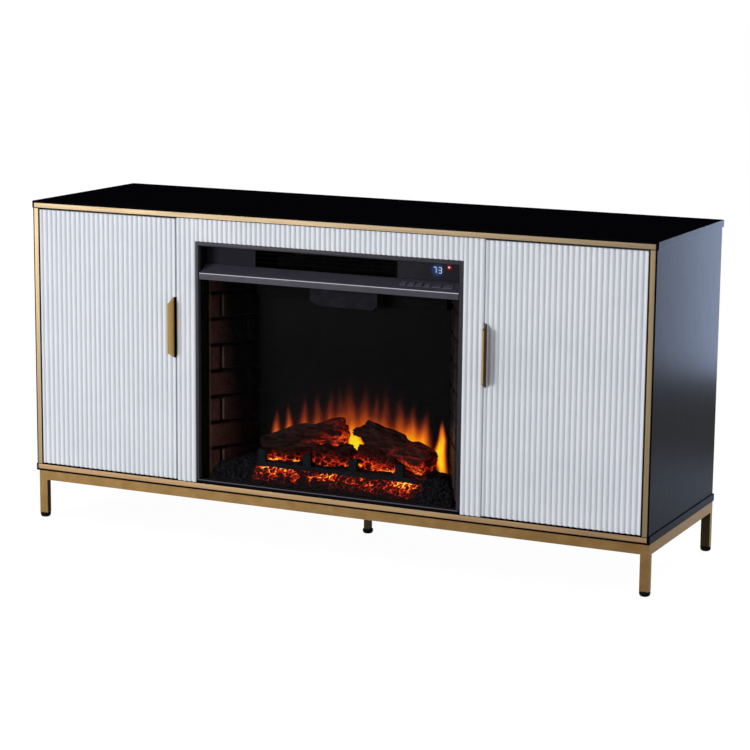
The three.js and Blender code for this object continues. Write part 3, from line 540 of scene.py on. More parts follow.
tree, shader = new_finish("black_board", "black_laminate", 0.6, specular=0.2)
mottled(tree, shader, "1a1a1d", "242427", 16, (3, 3, 0.6))
uneven_gloss(tree, shader, 0.5, 0.7, 60)
relief(tree, shader, noise(tree, 500), 0.00005, 0.5)

tree, shader = new_finish("white_lacquer", "white_lacquer", 0.42, specular=0.3)
mottled(tree, shader, "dfe3ea", "e6e9f0", 6)
uneven_gloss(tree, shader, 0.38, 0.5, 25)
relief(tree, shader, noise(tree, 900), 0.00003, 0.35)

# %% [markdown]
# The trim is pale gold metal brushed along its length, and the base and pulls are a deeper gold paint
# with fine metal flakes. Brushing is noise squeezed into long lines, which also makes the gloss uneven.
# On the base, faces to the side are painted lighter as painted light, and inner and far faces, where
# little light comes, are painted darker as painted shade. The cheeks of the two pulls are painted with
# light and shade, the left one lighter and the right one darker, and the part of a pull that lies in the
# door's notch is painted black as shade.


# %% Metals
def brushed(name, slot, first, second, stretch, roughness):
    """Metal with fine lines along the axis whose stretch is small."""
    tree, shader = new_finish(name, slot, roughness, metallic=1.0)
    mottled(tree, shader, first, second, 120, stretch)
    uneven_gloss(tree, shader, roughness - 0.06, roughness + 0.08, 400, stretch)
    relief(tree, shader, noise(tree, 700, stretch), 0.00003, 0.5)


ALONG = {"across": (0.02, 1, 1), "up": (1, 1, 0.02)}
LEGS_INSIDE = (0.60, 0.58)
FAR_SIDE = (0.030, 0.035)
MIDDLE_FADE = (-0.01, 0.01)
TANG_FADE = (-0.0004, 0.0006)
# The trim finishes are one pale gold in lighter and darker copies: the top strip is painted darker as
# painted shade, the bottom strip lighter as painted light, and the upright strips lie in between.
brushed("pale_gold_top", "pale_gold", "7d6e57", "73644d", ALONG["across"], 0.38)
brushed("pale_gold_bottom", "pale_gold", "a08461", "957a5a", ALONG["across"], 0.38)
brushed("pale_gold_up", "pale_gold", "8a7a5e", "806f54", ALONG["up"], 0.38)
brushed("zinc", "zinc", "a9acaf", "8f9295", ALONG["up"], 0.32)

tree, shader = new_finish("base_gold", "bronze_gold", 0.4, metallic=0.85)
gold = mottled(tree, shader, "876a3f", "7b5f36", 40)
looks, spot = facing_axes(tree), place_axes(tree)
# Faces towards the sides are painted lighter as painted light, and inner and far faces are painted darker
# as painted shade.
sideways = span(tree, looks["X"], 0.5, 0.8)
gold = blend_colours(tree, sideways, gold, srgb("a07c40"))
inner_face = calculate(tree, "MULTIPLY", sideways, span(tree, spot["X"], *LEGS_INSIDE))
behind = span(tree, spot["Y"], FRONT + FAR_SIDE[0], FRONT + FAR_SIDE[1])
far_face = calculate(tree, "MULTIPLY", span(tree, looks["Y"], -0.5, -0.8), behind)
painted_shade_mask = calculate(tree, "MAXIMUM", inner_face, far_face)
tree.links.new(blend_colours(tree, painted_shade_mask, gold, srgb("342711")), shader.inputs["Base Color"])
uneven_gloss(tree, shader, 0.36, 0.48, 220)
relief(tree, shader, noise(tree, 1600, detail=2.0), 0.00003, 0.45)

tree, shader = new_finish("pull_gold", "bronze_gold", 0.5, metallic=0.55, specular=0.3)
gold = mottled(tree, shader, "9c8358", "8e754b", 60, ALONG["up"])
looks, spot = facing_axes(tree), place_axes(tree)
# Cheeks facing the side are painted lighter on the left pull and darker on the right one: painted light
# and painted shade.
cheek_painted_light_and_shade = blend_colours(tree, span(tree, spot["X"], *MIDDLE_FADE), srgb("ecc47c"), srgb("5e4728"))
gold = blend_colours(tree, span(tree, looks["X"], 0.4, 0.7), gold, cheek_painted_light_and_shade)
# The part of the pull behind the door's face is painted black, as the shade in the door's notch.
tang = span(tree, spot["Y"], FRONT + TANG_FADE[0], FRONT + TANG_FADE[1])
tree.links.new(blend_colours(tree, tang, gold, srgb("070504")), shader.inputs["Base Color"])
tree.links.new(span(tree, tang, 0, 1, 0.55, 0.0), shader.inputs["Metallic"])
tree.links.new(span(tree, tang, 0, 1, 0.3, 0.0), shader.inputs["Specular IOR Level"])
relief(tree, shader, noise(tree, 900, ALONG["up"]), 0.00003, 0.4)

# %% [markdown]
# The firebox is painted steel. Powder paint has a fine orange-peel surface, which is a small noise in
# the bump. Its inner parts are matt black, so that the fire stands out.

# %% Paint, plastic, rubber
BEND_HEIGHT = 0.0127
BEND_REACH = 0.0014
SILL = 0.0092
SILL_BEND = 0.0066
SILL_SHINE = 0.0015
SILL_FADE = 0.0006
OUTLET = (-0.174, 0.137)
BLANK_EDGE = (-0.0012, -0.0006)


def along_line(tree, y, z, reach):
    """1 on a line that runs across the stand at this depth and height, and 0 beyond its reach."""
    sockets = {0: place_on_piece(tree), 1: (0, 1, 1)}
    flat = wire(tree, "ShaderNodeVectorMath", sockets, operation="MULTIPLY").outputs["Vector"]
    return span(tree, distance(tree, flat, (0, y, z)), reach * 0.6, reach, 1.0, 0.0)


low, high = corners_of("hood")
tree, shader = new_finish("hood_paint", "charcoal_paint", 0.36, specular=0.1)
paint = mottled(tree, shader, "3f3e48", "45444e", 40)
uneven_gloss(tree, shader, 0.28, 0.34, 300)
# A bright, metallic line along the bend above the lip: a painted highlight.
painted_bend_highlight = along_line(tree, low[1], low[2] + BEND_HEIGHT, BEND_REACH)
tree.links.new(blend_colours(tree, painted_bend_highlight, paint, srgb("dcd9e4")), shader.inputs["Base Color"])
tree.links.new(calculate(tree, "MULTIPLY", painted_bend_highlight, 0.85), shader.inputs["Metallic"])
relief(tree, shader, noise(tree, 1400, detail=2.0), 0.00003, 0.4)

low, high = corners_of("firebox_bezel")
tree, shader = new_finish("bezel_paint", "charcoal_paint", 0.42, specular=0.2)
paint = mottled(tree, shader, "302f36", "36353c", 40)
# Below the sill the bottom bar is painted near black as painted shade, and a thin light line along its
# bead is a painted highlight.
above_sill = span(tree, place_axes(tree)["Z"], low[2] + SILL - SILL_FADE, low[2] + SILL)
paint_with_painted_shade = blend_colours(tree, above_sill, srgb("0c0c0f"), paint)
painted_bead_highlight = along_line(tree, low[1], low[2] + SILL_BEND, SILL_SHINE)
tree.links.new(blend_colours(tree, painted_bead_highlight, paint_with_painted_shade, srgb("5f5e69")), shader.inputs["Base Color"])
tree.links.new(span(tree, above_sill, 0, 1, 0.02, 0.12), shader.inputs["Specular IOR Level"])
relief(tree, shader, noise(tree, 1400, detail=2.0), 0.00004, 0.5)

tree, shader = new_finish("black_sheet", "black_sheet", 0.6, metallic=0.1, specular=0.1)
mottled(tree, shader, "0b0b0c", "121214", 50)
uneven_gloss(tree, shader, 0.5, 0.7, 200)
relief(tree, shader, noise(tree, 1200, detail=2.0), 0.00004, 0.5)

tree, shader = new_finish("outlet_plate", "black_sheet", 0.5, specular=0.0)
paint = mottled(tree, shader, "0b0908", "120e0d", 50)
past_blank = span(tree, place_axes(tree)["X"], OUTLET[0] + BLANK_EDGE[0], OUTLET[0] + BLANK_EDGE[1])
tree.links.new(blend_colours(tree, past_blank, srgb("29272e"), paint), shader.inputs["Base Color"])
relief(tree, shader, noise(tree, 1200, detail=2.0), 0.00004, 0.5)

plain_finish("grate_iron", "black_sheet", (0.6, 0.06), ("06090d", "0c1116"), 70, 700, (0.00008, 0.7), 3.0)
plain_finish("dark_steel", "zinc", (0.6, 0.0), ("060607", "0d0d0f"), 60, 900, (0.00004, 0.5))
plain_finish("soft_black", "soft_black", (0.5, 0.1), ("17171a", "202024"), 80, 2400, (0.00003, 0.5))
plain_finish("black_rubber", "black_rubber", (0.65, 0.06), ("070707", "101010"), 90, 1800, (0.00005, 0.6))

# %% [markdown]
# Clear glass in front of a dark box shows hardly anything of itself, so it is mostly see-through, with
# a very low gloss. The display window is nearly black and lets two lights show through.

# %% Glass and display
DIGITS_MIDDLE = (0.227, FRONT + 0.0335, 0.5925)
INDICATOR = (0.2516, FRONT + 0.0335, 0.5995)
BACKLIGHT_REACH = 0.017
INDICATOR_REACH = 0.0065

tree, shader = new_finish("clear_glass", "clear_glass", 0.06, specular=0.02)
mottled(tree, shader, "0c0d0f", "101214", 3)
shader.inputs["Alpha"].default_value = 0.03


def glow_round(tree, centre, reach):
    """1 at a point and 0 at its reach, on Object coordinates."""
    near = span(tree, distance(tree, place_on_piece(tree), centre), 0.0, reach, 1.0, 0.0)
    return calculate(tree, "POWER", near, 1.6)


tree, shader = new_finish("display_glass", "dark_glass", 0.25, specular=0.05)
mottled(tree, shader, "18161d", "1e1c24", 60)
black = srgb("000000")
blue = blend_colours(tree, glow_round(tree, DIGITS_MIDDLE, BACKLIGHT_REACH), black, srgb("1f4f8f"))
red = blend_colours(tree, glow_round(tree, INDICATOR, INDICATOR_REACH), black, srgb("e01810"))
light_up(tree, shader, blend_colours(tree, 1.0, blue, red, "ADD"))

# %% [markdown]
# ## Carried-over nodes
# Flat boards, brackets and works that are already right stay as they are and only take a finish. The
# body that a node rides on comes with the frame.

# %% Finishes for the nodes that stay
plain_finishes = {
    "black_laminate": ["side_panel"],
    "black_board": ["back_panel", "shelf", "divider"],
    "zinc": ["hinge_arm", "hinge_cup", "flame_spindle"],
    "dark_steel": ["heater_element"],
    "black_sheet": ["firebox_casing"],
    "soft_black": ["blower_wheel"],
    "black_rubber": ["cord_gland"],
}
for finish, endings in plain_finishes.items():
    for name in [n for n in nodes if any(n.endswith(ending) for ending in endings)]:
        nodes[name].data.materials.clear()
        nodes[name].data.materials.append(finishes[finish][0])

# %% [markdown]
# ## Slabs and trim
# The top and bottom slabs are boards with banded edges, slightly rounded, with a shallow groove in the
# front edge for the gold trim. A strip of trim is a bar with edges rounded by less than a millimetre.

# %% Slabs and trim
BAND_RADIUS = 0.0008
TRIM_RADIUS = 0.0005
GROOVE_OPENING = 0.002

for edge in ("top", "bottom"):
    board = make_object(f"{edge}_board", [rounded_box(*corners_of(f"{edge}_panel"), BAND_RADIUS, 4)])
    # The groove is the strip's box, a little larger and open to the front
    low, high = corners_of(f"{edge}_trim")
    combine(board, [rounded_box(low - [SEAT, GROOVE_OPENING, SEAT], high + SEAT, SEAT / 2, 1)])
    dress(board, "black_laminate", "cabinet", [f"{edge}_panel"])
for name in ("top", "bottom", "left", "right"):
    finish = f"pale_gold_{name}" if name in ("top", "bottom") else "pale_gold_up"
    strip = rounded_box(*corners_of(f"{name}_trim"), TRIM_RADIUS, 3)
    build(f"{name}_strip", [strip], finish, "cabinet", [f"{name}_trim"])

# %% [markdown]
# ## Reeded boards
# Each reed is an arc of a circle, and a narrow flat groove lies between two reeds. The depth of the
# front is a function of x alone, so a board is that curve carried upwards. The last part of a
# millimetre at each end is drawn in, which rounds the edge of the board.

# %% Reeded boards
REED_DEPTH = 0.003
GROOVE = 0.001
REED_STEPS = 10
BOARD_EDGE = 0.0006
DOOR_PITCH = 0.0115
HEADER_PITCH = 0.01104


def reed_depth(x, low, high, pitch):
    """R minus the root of RR - uu, where u is the distance from the reed's middle, and the full depth in
    the groove. The board's own side edges are rounded by a quarter circle."""
    half = (pitch - GROOVE) / 2
    radius = (half ** 2 + REED_DEPTH ** 2) / (2 * REED_DEPTH)
    grooves = np.floor((high - low) / pitch)
    first_groove = (low + high) / 2 - (grooves - 1) / 2 * pitch
    u = np.abs((x - first_groove) % pitch - pitch / 2)
    depth = np.where(u < half, radius - np.sqrt(radius ** 2 - np.minimum(u, half) ** 2), REED_DEPTH)
    near = np.clip(BOARD_EDGE - np.minimum(x - low, high - x), 0, BOARD_EDGE)
    return np.maximum(depth, BOARD_EDGE - np.sqrt(BOARD_EDGE ** 2 - near ** 2))


def reeded_board(low, high, pitch):
    """The front curve and a flat back as one ring, in four rings up the board, with ends of strips."""
    grooves = int(np.floor((high[0] - low[0]) / pitch))
    first_middle = (low[0] + high[0]) / 2 - grooves / 2 * pitch
    half = (pitch - GROOVE) / 2
    middles = first_middle + np.arange(grooves + 1) * pitch
    inside = (middles[:, None] + np.linspace(-half, half, REED_STEPS + 1)).ravel()
    edge = np.array([0, 0.3, 0.7, 1]) * BOARD_EDGE
    x = np.unique(np.clip(np.concatenate([low[0] + edge, inside, high[0] - edge]), low[0], high[0]))
    depth = reed_depth(x, low[0], high[0], pitch)

    def ring(inset, z):
        across = np.clip(x, low[0] + inset, high[0] - inset)
        front = as_points(across, low[1] + depth + inset, z)
        back = as_points(across, high[1] - inset, z)
        return np.concatenate([front, back[::-1]])

    rings = np.stack([ring(BOARD_EDGE, low[2]), ring(0, low[2] + BOARD_EDGE),
                      ring(0, high[2] - BOARD_EDGE), ring(BOARD_EDGE, high[2])])
    points, sides = grid_shell(rings, wrap_columns=True)
    count = len(x)
    left = np.arange(count - 1)
    end = np.stack([left, left + 1, 2 * count - 2 - left, 2 * count - 1 - left], -1)
    return points, np.concatenate([sides, end[:, ::-1], end + 6 * count])


for name in ("left_stile", "right_stile"):
    stile = reeded_board(*corners_of(name), DOOR_PITCH)
    build(f"{name}_reeded", [stile], "white_lacquer", "cabinet", [name])
header = reeded_board(*corners_of("header_panel"), HEADER_PITCH)
build("header_reeded", [header], "white_lacquer", "cabinet", ["header_panel"])

# %% Doors
NOTCH_DEPTH = 0.0044
OVERRUN = 0.004
POCKET_CLEARANCE = 0.0003

for side, sign in SIDES:
    low, high = corners_of(f"{side}_door")
    door = make_object(f"{side}_door_reeded", [reeded_board(low, high, DOOR_PITCH)])
    pull_low, pull_high = corners_of(f"{side}_pull")
    inner = low[0] if sign > 0 else high[0]
    notch_x = np.sort([inner - sign * OVERRUN, inner + sign * NOTCH_DEPTH])
    notch_low = np.array([notch_x[0], low[1] - OVERRUN, pull_low[2] - SEAT])
    notch_high = np.array([notch_x[1], high[1] + OVERRUN, pull_high[2] + SEAT])
    cuts = [rounded_box(notch_low, notch_high, SEAT, 1)]
    for place in ("lower", "upper"):
        cup_low, cup_high = corners_of(f"{side}_{place}_hinge_cup")
        radius = (cup_high[0] - cup_low[0]) / 2 + POCKET_CLEARANCE
        centre = (cup_low + cup_high) / 2
        floor_y = cup_low[1] - POCKET_CLEARANCE
        profile = [(0, floor_y), (radius, floor_y), (radius, high[1] + OVERRUN), (0, high[1] + OVERRUN)]
        cuts.append(turned(profile, (centre[0], 0, centre[2]), "y", 40))
    combine(door, cuts)
    dress(door, "white_lacquer", f"{side}_door", [f"{side}_door"])
    print(door.name, len(door.data.polygons), "faces")

# %% [markdown]
# ## Edge pulls
# A pull is one bent strip: a tang in the door's notch, a leg that stands forward, and a lip turned over
# the door. Seen from above it is a line with one bend, and its height shrinks towards the lip, because
# the corners are cut off at an angle.

# %% Edge pulls
PULL_GAUGE = 0.0016
PULL_BEND = 0.0022
PULL_CHAMFER = 0.010
PULL_EDGE = 0.00035
PULL_ROWS = 12
PULL_STATIONS = 24


def pull_sheet(low, high, sign):
    """A grid whose columns follow the bent line, and whose rows run between two heights that draw in
    by the chamfer as the line goes forward of the door's face."""
    inner = low[0] if sign > 0 else high[0]
    outer = high[0] if sign > 0 else low[0]
    middle = inner + sign * PULL_GAUGE / 2
    forward = low[1] + PULL_GAUGE / 2
    line = rounded_line([(middle, high[1]), (middle, forward), (outer, forward)], PULL_BEND, 6)
    run = np.linspace(high[1], forward + PULL_BEND, PULL_STATIONS)
    line = np.concatenate([np.stack([np.full_like(run, middle), run], -1), line[1:]])
    inset = PULL_CHAMFER * np.clip((FRONT - line[:, 1]) / (FRONT - forward), 0, 1)
    share = np.linspace(0, 1, PULL_ROWS)[:, None]
    z = (low[2] + inset) * (1 - share) + (high[2] - inset) * share
    return as_points(line[:, 0], line[:, 1], z)


def thicken(piece, thickness, edge):
    """Gives a sheet its thickness on both sides, then rounds its cut edges."""
    modifier = piece.modifiers.new("thicken", "SOLIDIFY")
    modifier.thickness = thickness
    modifier.offset = 0
    modifier.use_even_offset = True
    settle(piece)
    soften(piece, edge, 2, 60)


for side, sign in SIDES:
    sheet = pull_sheet(*corners_of(f"{side}_pull"), sign)
    pull = make_object(f"{side}_pull_bent", [grid_shell(sheet)])
    thicken(pull, PULL_GAUGE, PULL_EDGE)
    dress(pull, "pull_gold", f"{side}_door", [f"{side}_pull"])

# %% [markdown]
# ## Base
# The base is flat tube, welded at the corners. The bars are joined into one body first, and one bevel
# then rounds the tube's outer corners and leaves a small fillet where a leg meets a rail, as a weld does.

# %% Base
TUBE_WIDTH = 0.019
TUBE_DEPTH = 0.013
RAIL_HEIGHT = 0.0215
TUBE_RADIUS = 0.0016


def bar(x0, x1, y0, y1, z0, z1):
    """A plain bar as a rounded box whose radius is next to nothing."""
    return rounded_box((x0, y0, z0), (x1, y1, z1), MERGE * 10, 1)


low, high = corners_of("base_frame")
rail_low = high[2] - RAIL_HEIGHT
base = make_object("base_tubes", [bar(low[0], high[0], low[1], low[1] + TUBE_DEPTH, rail_low, high[2])])
bars = [bar(low[0], high[0], high[1] - TUBE_DEPTH, high[1], rail_low, high[2])]
for x0, x1 in ((low[0], low[0] + TUBE_WIDTH), (high[0] - TUBE_WIDTH, high[0])):
    rail_x = (x0, x0 + TUBE_DEPTH) if x0 < 0 else (x1 - TUBE_DEPTH, x1)
    bars.append(bar(*rail_x, low[1] + TUBE_DEPTH / 2, high[1] - TUBE_DEPTH / 2, rail_low, high[2]))
    bars.append(bar(x0, x1, low[1], low[1] + TUBE_DEPTH, low[2], high[2]))
    bars.append(bar(x0, x1, high[1] - TUBE_DEPTH, high[1], low[2], high[2]))
combine(base, bars, "UNION")
soften(base, TUBE_RADIUS, 3)
dress(base, "base_gold", "cabinet", ["base_frame"])

low, high = corners_of("middle_leg")
middle = (low + high) / 2
support = make_object("middle_support", [bar(low[0], high[0], low[1], high[1], rail_low, high[2])])
post = bar(low[0], high[0], middle[1] - TUBE_DEPTH / 2, middle[1] + TUBE_DEPTH / 2, low[2], high[2])
combine(support, [post], "UNION")
soften(support, TUBE_RADIUS, 3)
dress(support, "base_gold", "cabinet", ["middle_leg"])

# %% [markdown]
# A glide is a low rubber dome turned on a lathe, with a rounded shoulder and a flat underside.

# %% Glides
GLIDE_SHARES = [(0, 0), (0.5, 0), (0.72, 0.07), (0.86, 0.2), (0.95, 0.4), (0.99, 0.62), (1, 0.8),
                (0.985, 0.92), (0.93, 1), (0.55, 1), (0, 1)]
GLIDE_HEIGHT = 0.00975

for name in ("left_front_foot", "right_front_foot", "left_back_foot", "right_back_foot", "middle_foot"):
    low, high = corners_of(name)
    radius = (high[0] - low[0]) / 2
    profile = np.array(GLIDE_SHARES) * [radius, GLIDE_HEIGHT]
    centre = (*((low + high) / 2)[:2], low[2])
    build(f"{name}_glide", [turned(profile, centre, "z", 40)], "black_rubber", "cabinet", [name])

# %% [markdown]
# ## Firebox front
# The bezel is a pressed steel frame. Its section is carried round the opening with mitred corners: a
# flat face, a fine raised bead, and a slope that falls back to the glass.

# %% Bezel
PANE_RADIUS = 0.0004
# Points of the section: how far in from the outer edge and how far back from the front, in millimetres
BEZEL_SECTION = np.array([
    (0.0, 8.0), (0.0, 2.2), (0.2, 1.8), (0.6, 1.6), (5.2, 0.7), (5.6, 0.4), (6.0, 0.1), (6.5, 0.0),
    (7.0, 0.1), (7.3, 0.5), (7.5, 1.3), (7.8, 2.2), (8.7, 3.4), (9.0, 4.0), (9.0, 8.0),
]) * 0.001

low, high = corners_of("firebox_bezel")
middle, half = (low + high) / 2, (high - low) / 2
inset, depth = BEZEL_SECTION.T
turns = np.array([(-1, -1), (1, -1), (1, 1), (-1, 1)])
rings = as_points(middle[0] + turns[:, :1] * (half[0] - inset), low[1] + depth,
                  middle[2] + turns[:, 1:] * (half[2] - inset))
build("bezel_pressed", [grid_shell(rings, True, True)], "bezel_paint", "cabinet", ["firebox_bezel"])
pane = rounded_box(*corners_of("front_glass"), PANE_RADIUS, 2)
build("glass_pane", [pane], "clear_glass", "cabinet", ["front_glass"])

# %% [markdown]
# ## Hood
# The hood is one bent sheet above the glass: an upright lip, a slope that carries the buttons, and a
# leg at the back. The bends are rounded, and a bright line along the bend above the lip is a painted
# highlight in the hood's paint.

# %% Hood
SHEET = 0.002
HOOD_BEND = 0.0024
HOOD_EDGE = 0.0003
LIP_HEIGHT = 0.013
HOOD_RISE = 0.0168
BUTTON_LENGTH = 0.013
BUTTON_RADIUS = 0.0011
BUTTON_PROUD = 0.0011
BUTTON_THICKNESS = 0.0034
BUTTON_SLOT = 0.0008
SLOT_REACH = 0.01
SLOT_RADIUS = 0.0009

low, high = corners_of("hood")
lip_top = low[2] + LIP_HEIGHT - SEAT
slope_top = high[2]
inner = SHEET / 2
hood_line = rounded_line([
    (low[1] + inner, low[2]), (low[1] + inner, lip_top - inner * 0.8),
    (high[1] - inner, slope_top - inner * 1.2), (high[1] - inner, low[2])], HOOD_BEND, 6)
ends = np.array([[low[0]], [high[0]]])
hood = make_object("hood_bent", [grid_shell(as_points(ends, hood_line[:, 0], hood_line[:, 1]))])
thicken(hood, SHEET, HOOD_EDGE)

slope = np.arctan2(HOOD_RISE, high[1] - low[1])
tilt = np.array([[1, 0, 0], [0, np.cos(slope), -np.sin(slope)], [0, np.sin(slope), np.cos(slope)]])
slope_middle = np.array([0, (low[1] + high[1]) / 2, lip_top + HOOD_RISE / 2])
button_names = [f"button_{k}" for k in range(1, 7)]
button_x = [tuple(np.array(corners_of(name))[:, 0]) for name in button_names]


def on_slope(shell, x):
    """Turns a shell by the slope's angle and moves it to the slope's middle line at x."""
    points, faces = shell
    return points @ tilt.T + slope_middle + [x, 0, 0], faces


def button_body(x0, x1, grow, low_z, high_z, radius):
    """A rounded block centred on the slope, grown by a clearance."""
    half = (x1 - x0) / 2 + grow
    length = BUTTON_LENGTH / 2 + grow
    return on_slope(rounded_box((-half, -length, low_z), (half, length, high_z), radius, 4), (x0 + x1) / 2)


slots = [button_body(x0, x1, BUTTON_SLOT, -SLOT_REACH, SLOT_REACH, SLOT_RADIUS) for x0, x1 in button_x]
combine(hood, slots)
dress(hood, "hood_paint", "cabinet", ["hood"])

# %% [markdown]
# ## Buttons
# The six buttons press in square to the slope, and each carries a plain printed mark: a ring, lines, a
# dot, a triangle, and plus and minus. A mark is a thin raised shape, so it is part of the button.

# %% Buttons
MARK = 0.0006
MARK_REACH = 0.0022
PRINT = 0.00006

plain_finish("button_plastic", "soft_black", (0.45, 0.2), ("45444d", "504f59"), 80, 2400, (0.00003, 0.5))
tree, shader = new_finish("printed_mark", "soft_black", 0.5, specular=0.2)
mottled(tree, shader, "6b6b73", "7b7b84", 300)


def dash(x, y, half_x, half_y):
    """A flat bar of print on the button's top."""
    low = (x - half_x, y - half_y, BUTTON_PROUD - PRINT)
    high = (x + half_x, y + half_y, BUTTON_PROUD + PRINT)
    return rounded_box(low, high, PRINT / 2, 1)


def ring_mark(outer, inner):
    """A flat ring of print."""
    top, under = BUTTON_PROUD + PRINT, BUTTON_PROUD - PRINT
    profile = [(inner, under), (outer, under), (outer, top), (inner, top), (inner, under)]
    return turned(profile, (0, 0, 0), "z", 28)


button_marks = [
    [ring_mark(MARK_REACH, MARK_REACH - MARK), dash(0, MARK_REACH * 0.7, MARK / 2, MARK_REACH * 0.6)],
    [dash(0, y, MARK_REACH, MARK / 2) for y in (-MARK_REACH * 0.75, 0, MARK_REACH * 0.75)],
    [ring_mark(MARK_REACH * 0.55, 0.0)],
    [ring_mark(MARK_REACH, MARK_REACH - MARK), dash(MARK_REACH / 3, 0, MARK_REACH / 3, MARK / 2)],
    [dash(0, 0, MARK_REACH, MARK / 2)],
    [dash(0, 0, MARK_REACH, MARK / 2), dash(0, 0, MARK / 2, MARK_REACH)],
]
for name, (x0, x1), marks in zip(button_names, button_x, button_marks):
    body = button_body(x0, x1, 0, BUTTON_PROUD - BUTTON_THICKNESS, BUTTON_PROUD, BUTTON_RADIUS)
    build(f"{name}_cap", [body], "button_plastic", name, [name])
    shells = [on_slope(mark, (x0 + x1) / 2) for mark in marks]
    build(f"{name}_mark", shells, "printed_mark", name)

# %% [markdown]
# ## Display
# Two numbers made of seven bars each glow bluish white behind the dark window, with a red indicator
# beside them. Each bar is a rounded block, placed by which bars a number needs.

# %% Display and outlet
DIGIT_HEIGHT = 0.0125
DIGIT_WIDTH = 0.0070
DIGIT_STEP = 0.0112
BAR = 0.0013
LIT_PROUD = 0.0002
PLATE_RADIUS = 0.0005
DOME_RADIUS, DOME_HEIGHT, DOME_SEAT = 0.0014, 0.0008, 0.0003
OUTLET_TOP = 0.004
OUTLET_RADIUS = 0.0018
LOUVRE_HEIGHT = 0.0022
LOUVRE_RADIUS = 0.0008
LOUVRE_COUNT = 3
# Each bar of a number: how far across and up from its middle, in halves, and whether it lies level
BARS = {
    "top": (0, 1, True), "middle": (0, 0, True), "bottom": (0, -1, True),
    "upper_left": (-1, 0.5, False), "upper_right": (1, 0.5, False),
    "lower_left": (-1, -0.5, False), "lower_right": (1, -0.5, False),
}
NUMBERS = {
    "7": ("top", "upper_right", "lower_right"),
    "3": ("top", "middle", "bottom", "upper_right", "lower_right"),
}


def light_finish(name, slot, code, power):
    """A lamp behind plastic: a glow that is a little uneven."""
    tree, shader = new_finish(name, slot, 0.4, specular=0.1)
    mottled(tree, shader, "101010", "181818", 50)
    cloud = span(tree, noise(tree, 260), 0.2, 0.8)
    light_up(tree, shader, blend_colours(tree, cloud, srgb(code), srgb("ffffff")), power)


light_finish("digit_light", "dark_glass", "9cc8ff", 0.85)
light_finish("indicator_light", "dark_glass", "ff3020", 1.6)


def digit(number, x):
    """The bars of one number, round its middle at x."""
    shells = []
    for name in NUMBERS[number]:
        across, up, level = BARS[name]
        centre_x = x + across * (DIGIT_WIDTH - BAR) / 2
        centre_z = DIGITS_MIDDLE[2] + up * (DIGIT_HEIGHT - BAR) / 2
        length = (DIGIT_WIDTH if level else DIGIT_HEIGHT / 2) / 2 - BAR * 0.55
        half_x, half_z = (length, BAR / 2) if level else (BAR / 2, length)
        low = (centre_x - half_x, DIGITS_MIDDLE[1] - LIT_PROUD, centre_z - half_z)
        high = (centre_x + half_x, DIGITS_MIDDLE[1] + LIT_PROUD, centre_z + half_z)
        shells.append(rounded_box(low, high, LIT_PROUD * 0.9, 2))
    return shells


low, high = corners_of("display_panel")
window = rounded_box(low, high, PLATE_RADIUS, 2)
build("display_window", [window], "display_glass", "cabinet", ["display_panel"])
digits = digit("7", DIGITS_MIDDLE[0] - DIGIT_STEP / 2) + digit("3", DIGITS_MIDDLE[0] + DIGIT_STEP / 2)
build("display_digits", digits, "digit_light", "cabinet")
lens = [(DOME_RADIUS * np.sin(a), -DOME_HEIGHT * np.cos(a)) for a in np.linspace(0, np.pi / 2, 6)]
lens = lens + [(DOME_RADIUS, DOME_SEAT), (0, DOME_SEAT)]
build("display_indicator", [turned(lens, INDICATOR, "y", 20)], "indicator_light", "cabinet")

low, high = corners_of("outlet_panel")
plate = make_object("outlet_louvre", [rounded_box(low, high, PLATE_RADIUS, 2)])
hole_high = high[2] - OUTLET_TOP
hole = [(OUTLET[0], low[1] - OVERRUN, slope_top), (OUTLET[1], high[1] + OVERRUN, hole_high)]
combine(plate, [rounded_box(*hole, OUTLET_RADIUS, 4)])
levels = slope_top + (np.arange(LOUVRE_COUNT) + 1) * (hole_high - slope_top) / (LOUVRE_COUNT + 1)
louvre_low = np.array([OUTLET[0] - SHEET, low[1], -LOUVRE_HEIGHT / 2])
louvre_high = np.array([OUTLET[1] + SHEET, high[1], LOUVRE_HEIGHT / 2])
louvres = [rounded_box(louvre_low + [0, 0, z], louvre_high + [0, 0, z], LOUVRE_RADIUS, 3) for z in levels]
combine(plate, louvres, "UNION")
dress(plate, "outlet_plate", "cabinet", ["outlet_panel"])

# %% [markdown]
# ## Brick panels
# The side walls are moulded to look like brick. The wall is a height field: the distance to the nearest
# joint says how far the surface falls back, and two sizes of ripples make the faces uneven. The paint is
# slightly glossy. The front-facing edges of the bricks are painted light as a painted highlight, the
# front end of each wall and the wall towards the back are painted dark as painted shade, and the right
# wall, which the lamps don't reach, is painted darker still as painted shade.

# %% Brick panels
WALL_MOUTH = 0.2865
WALL_SPLAY = 0.55
WALL_START = 0.0268
WALL_END = 0.1285
WALL_LOW, WALL_HIGH = 0.0025, 0.42125
WALL_THICKNESS = 0.012
MORTAR_DEPTH = 0.004
COURSE = 0.0539
COURSE_DROP = 0.0394
BRICK = 0.1236
BRICK_OFFSET = 0.024
MORTAR = 0.005
BRICK_ROUND = 0.0032
WALL_GRID = (230, 64)
EDGE_START = (0.0008, 0.0016)
LARGE_RIPPLES = (0.0007, 0.03, 11)
SMALL_RIPPLES = (0.0004, 0.008, 12)
DEPTH_SHADE_START = 0.040
DEPTH_SHADE_END = 0.104
DEPTH_SHADE_RISE = 0.10
RIGHT_SHADE = 0.75

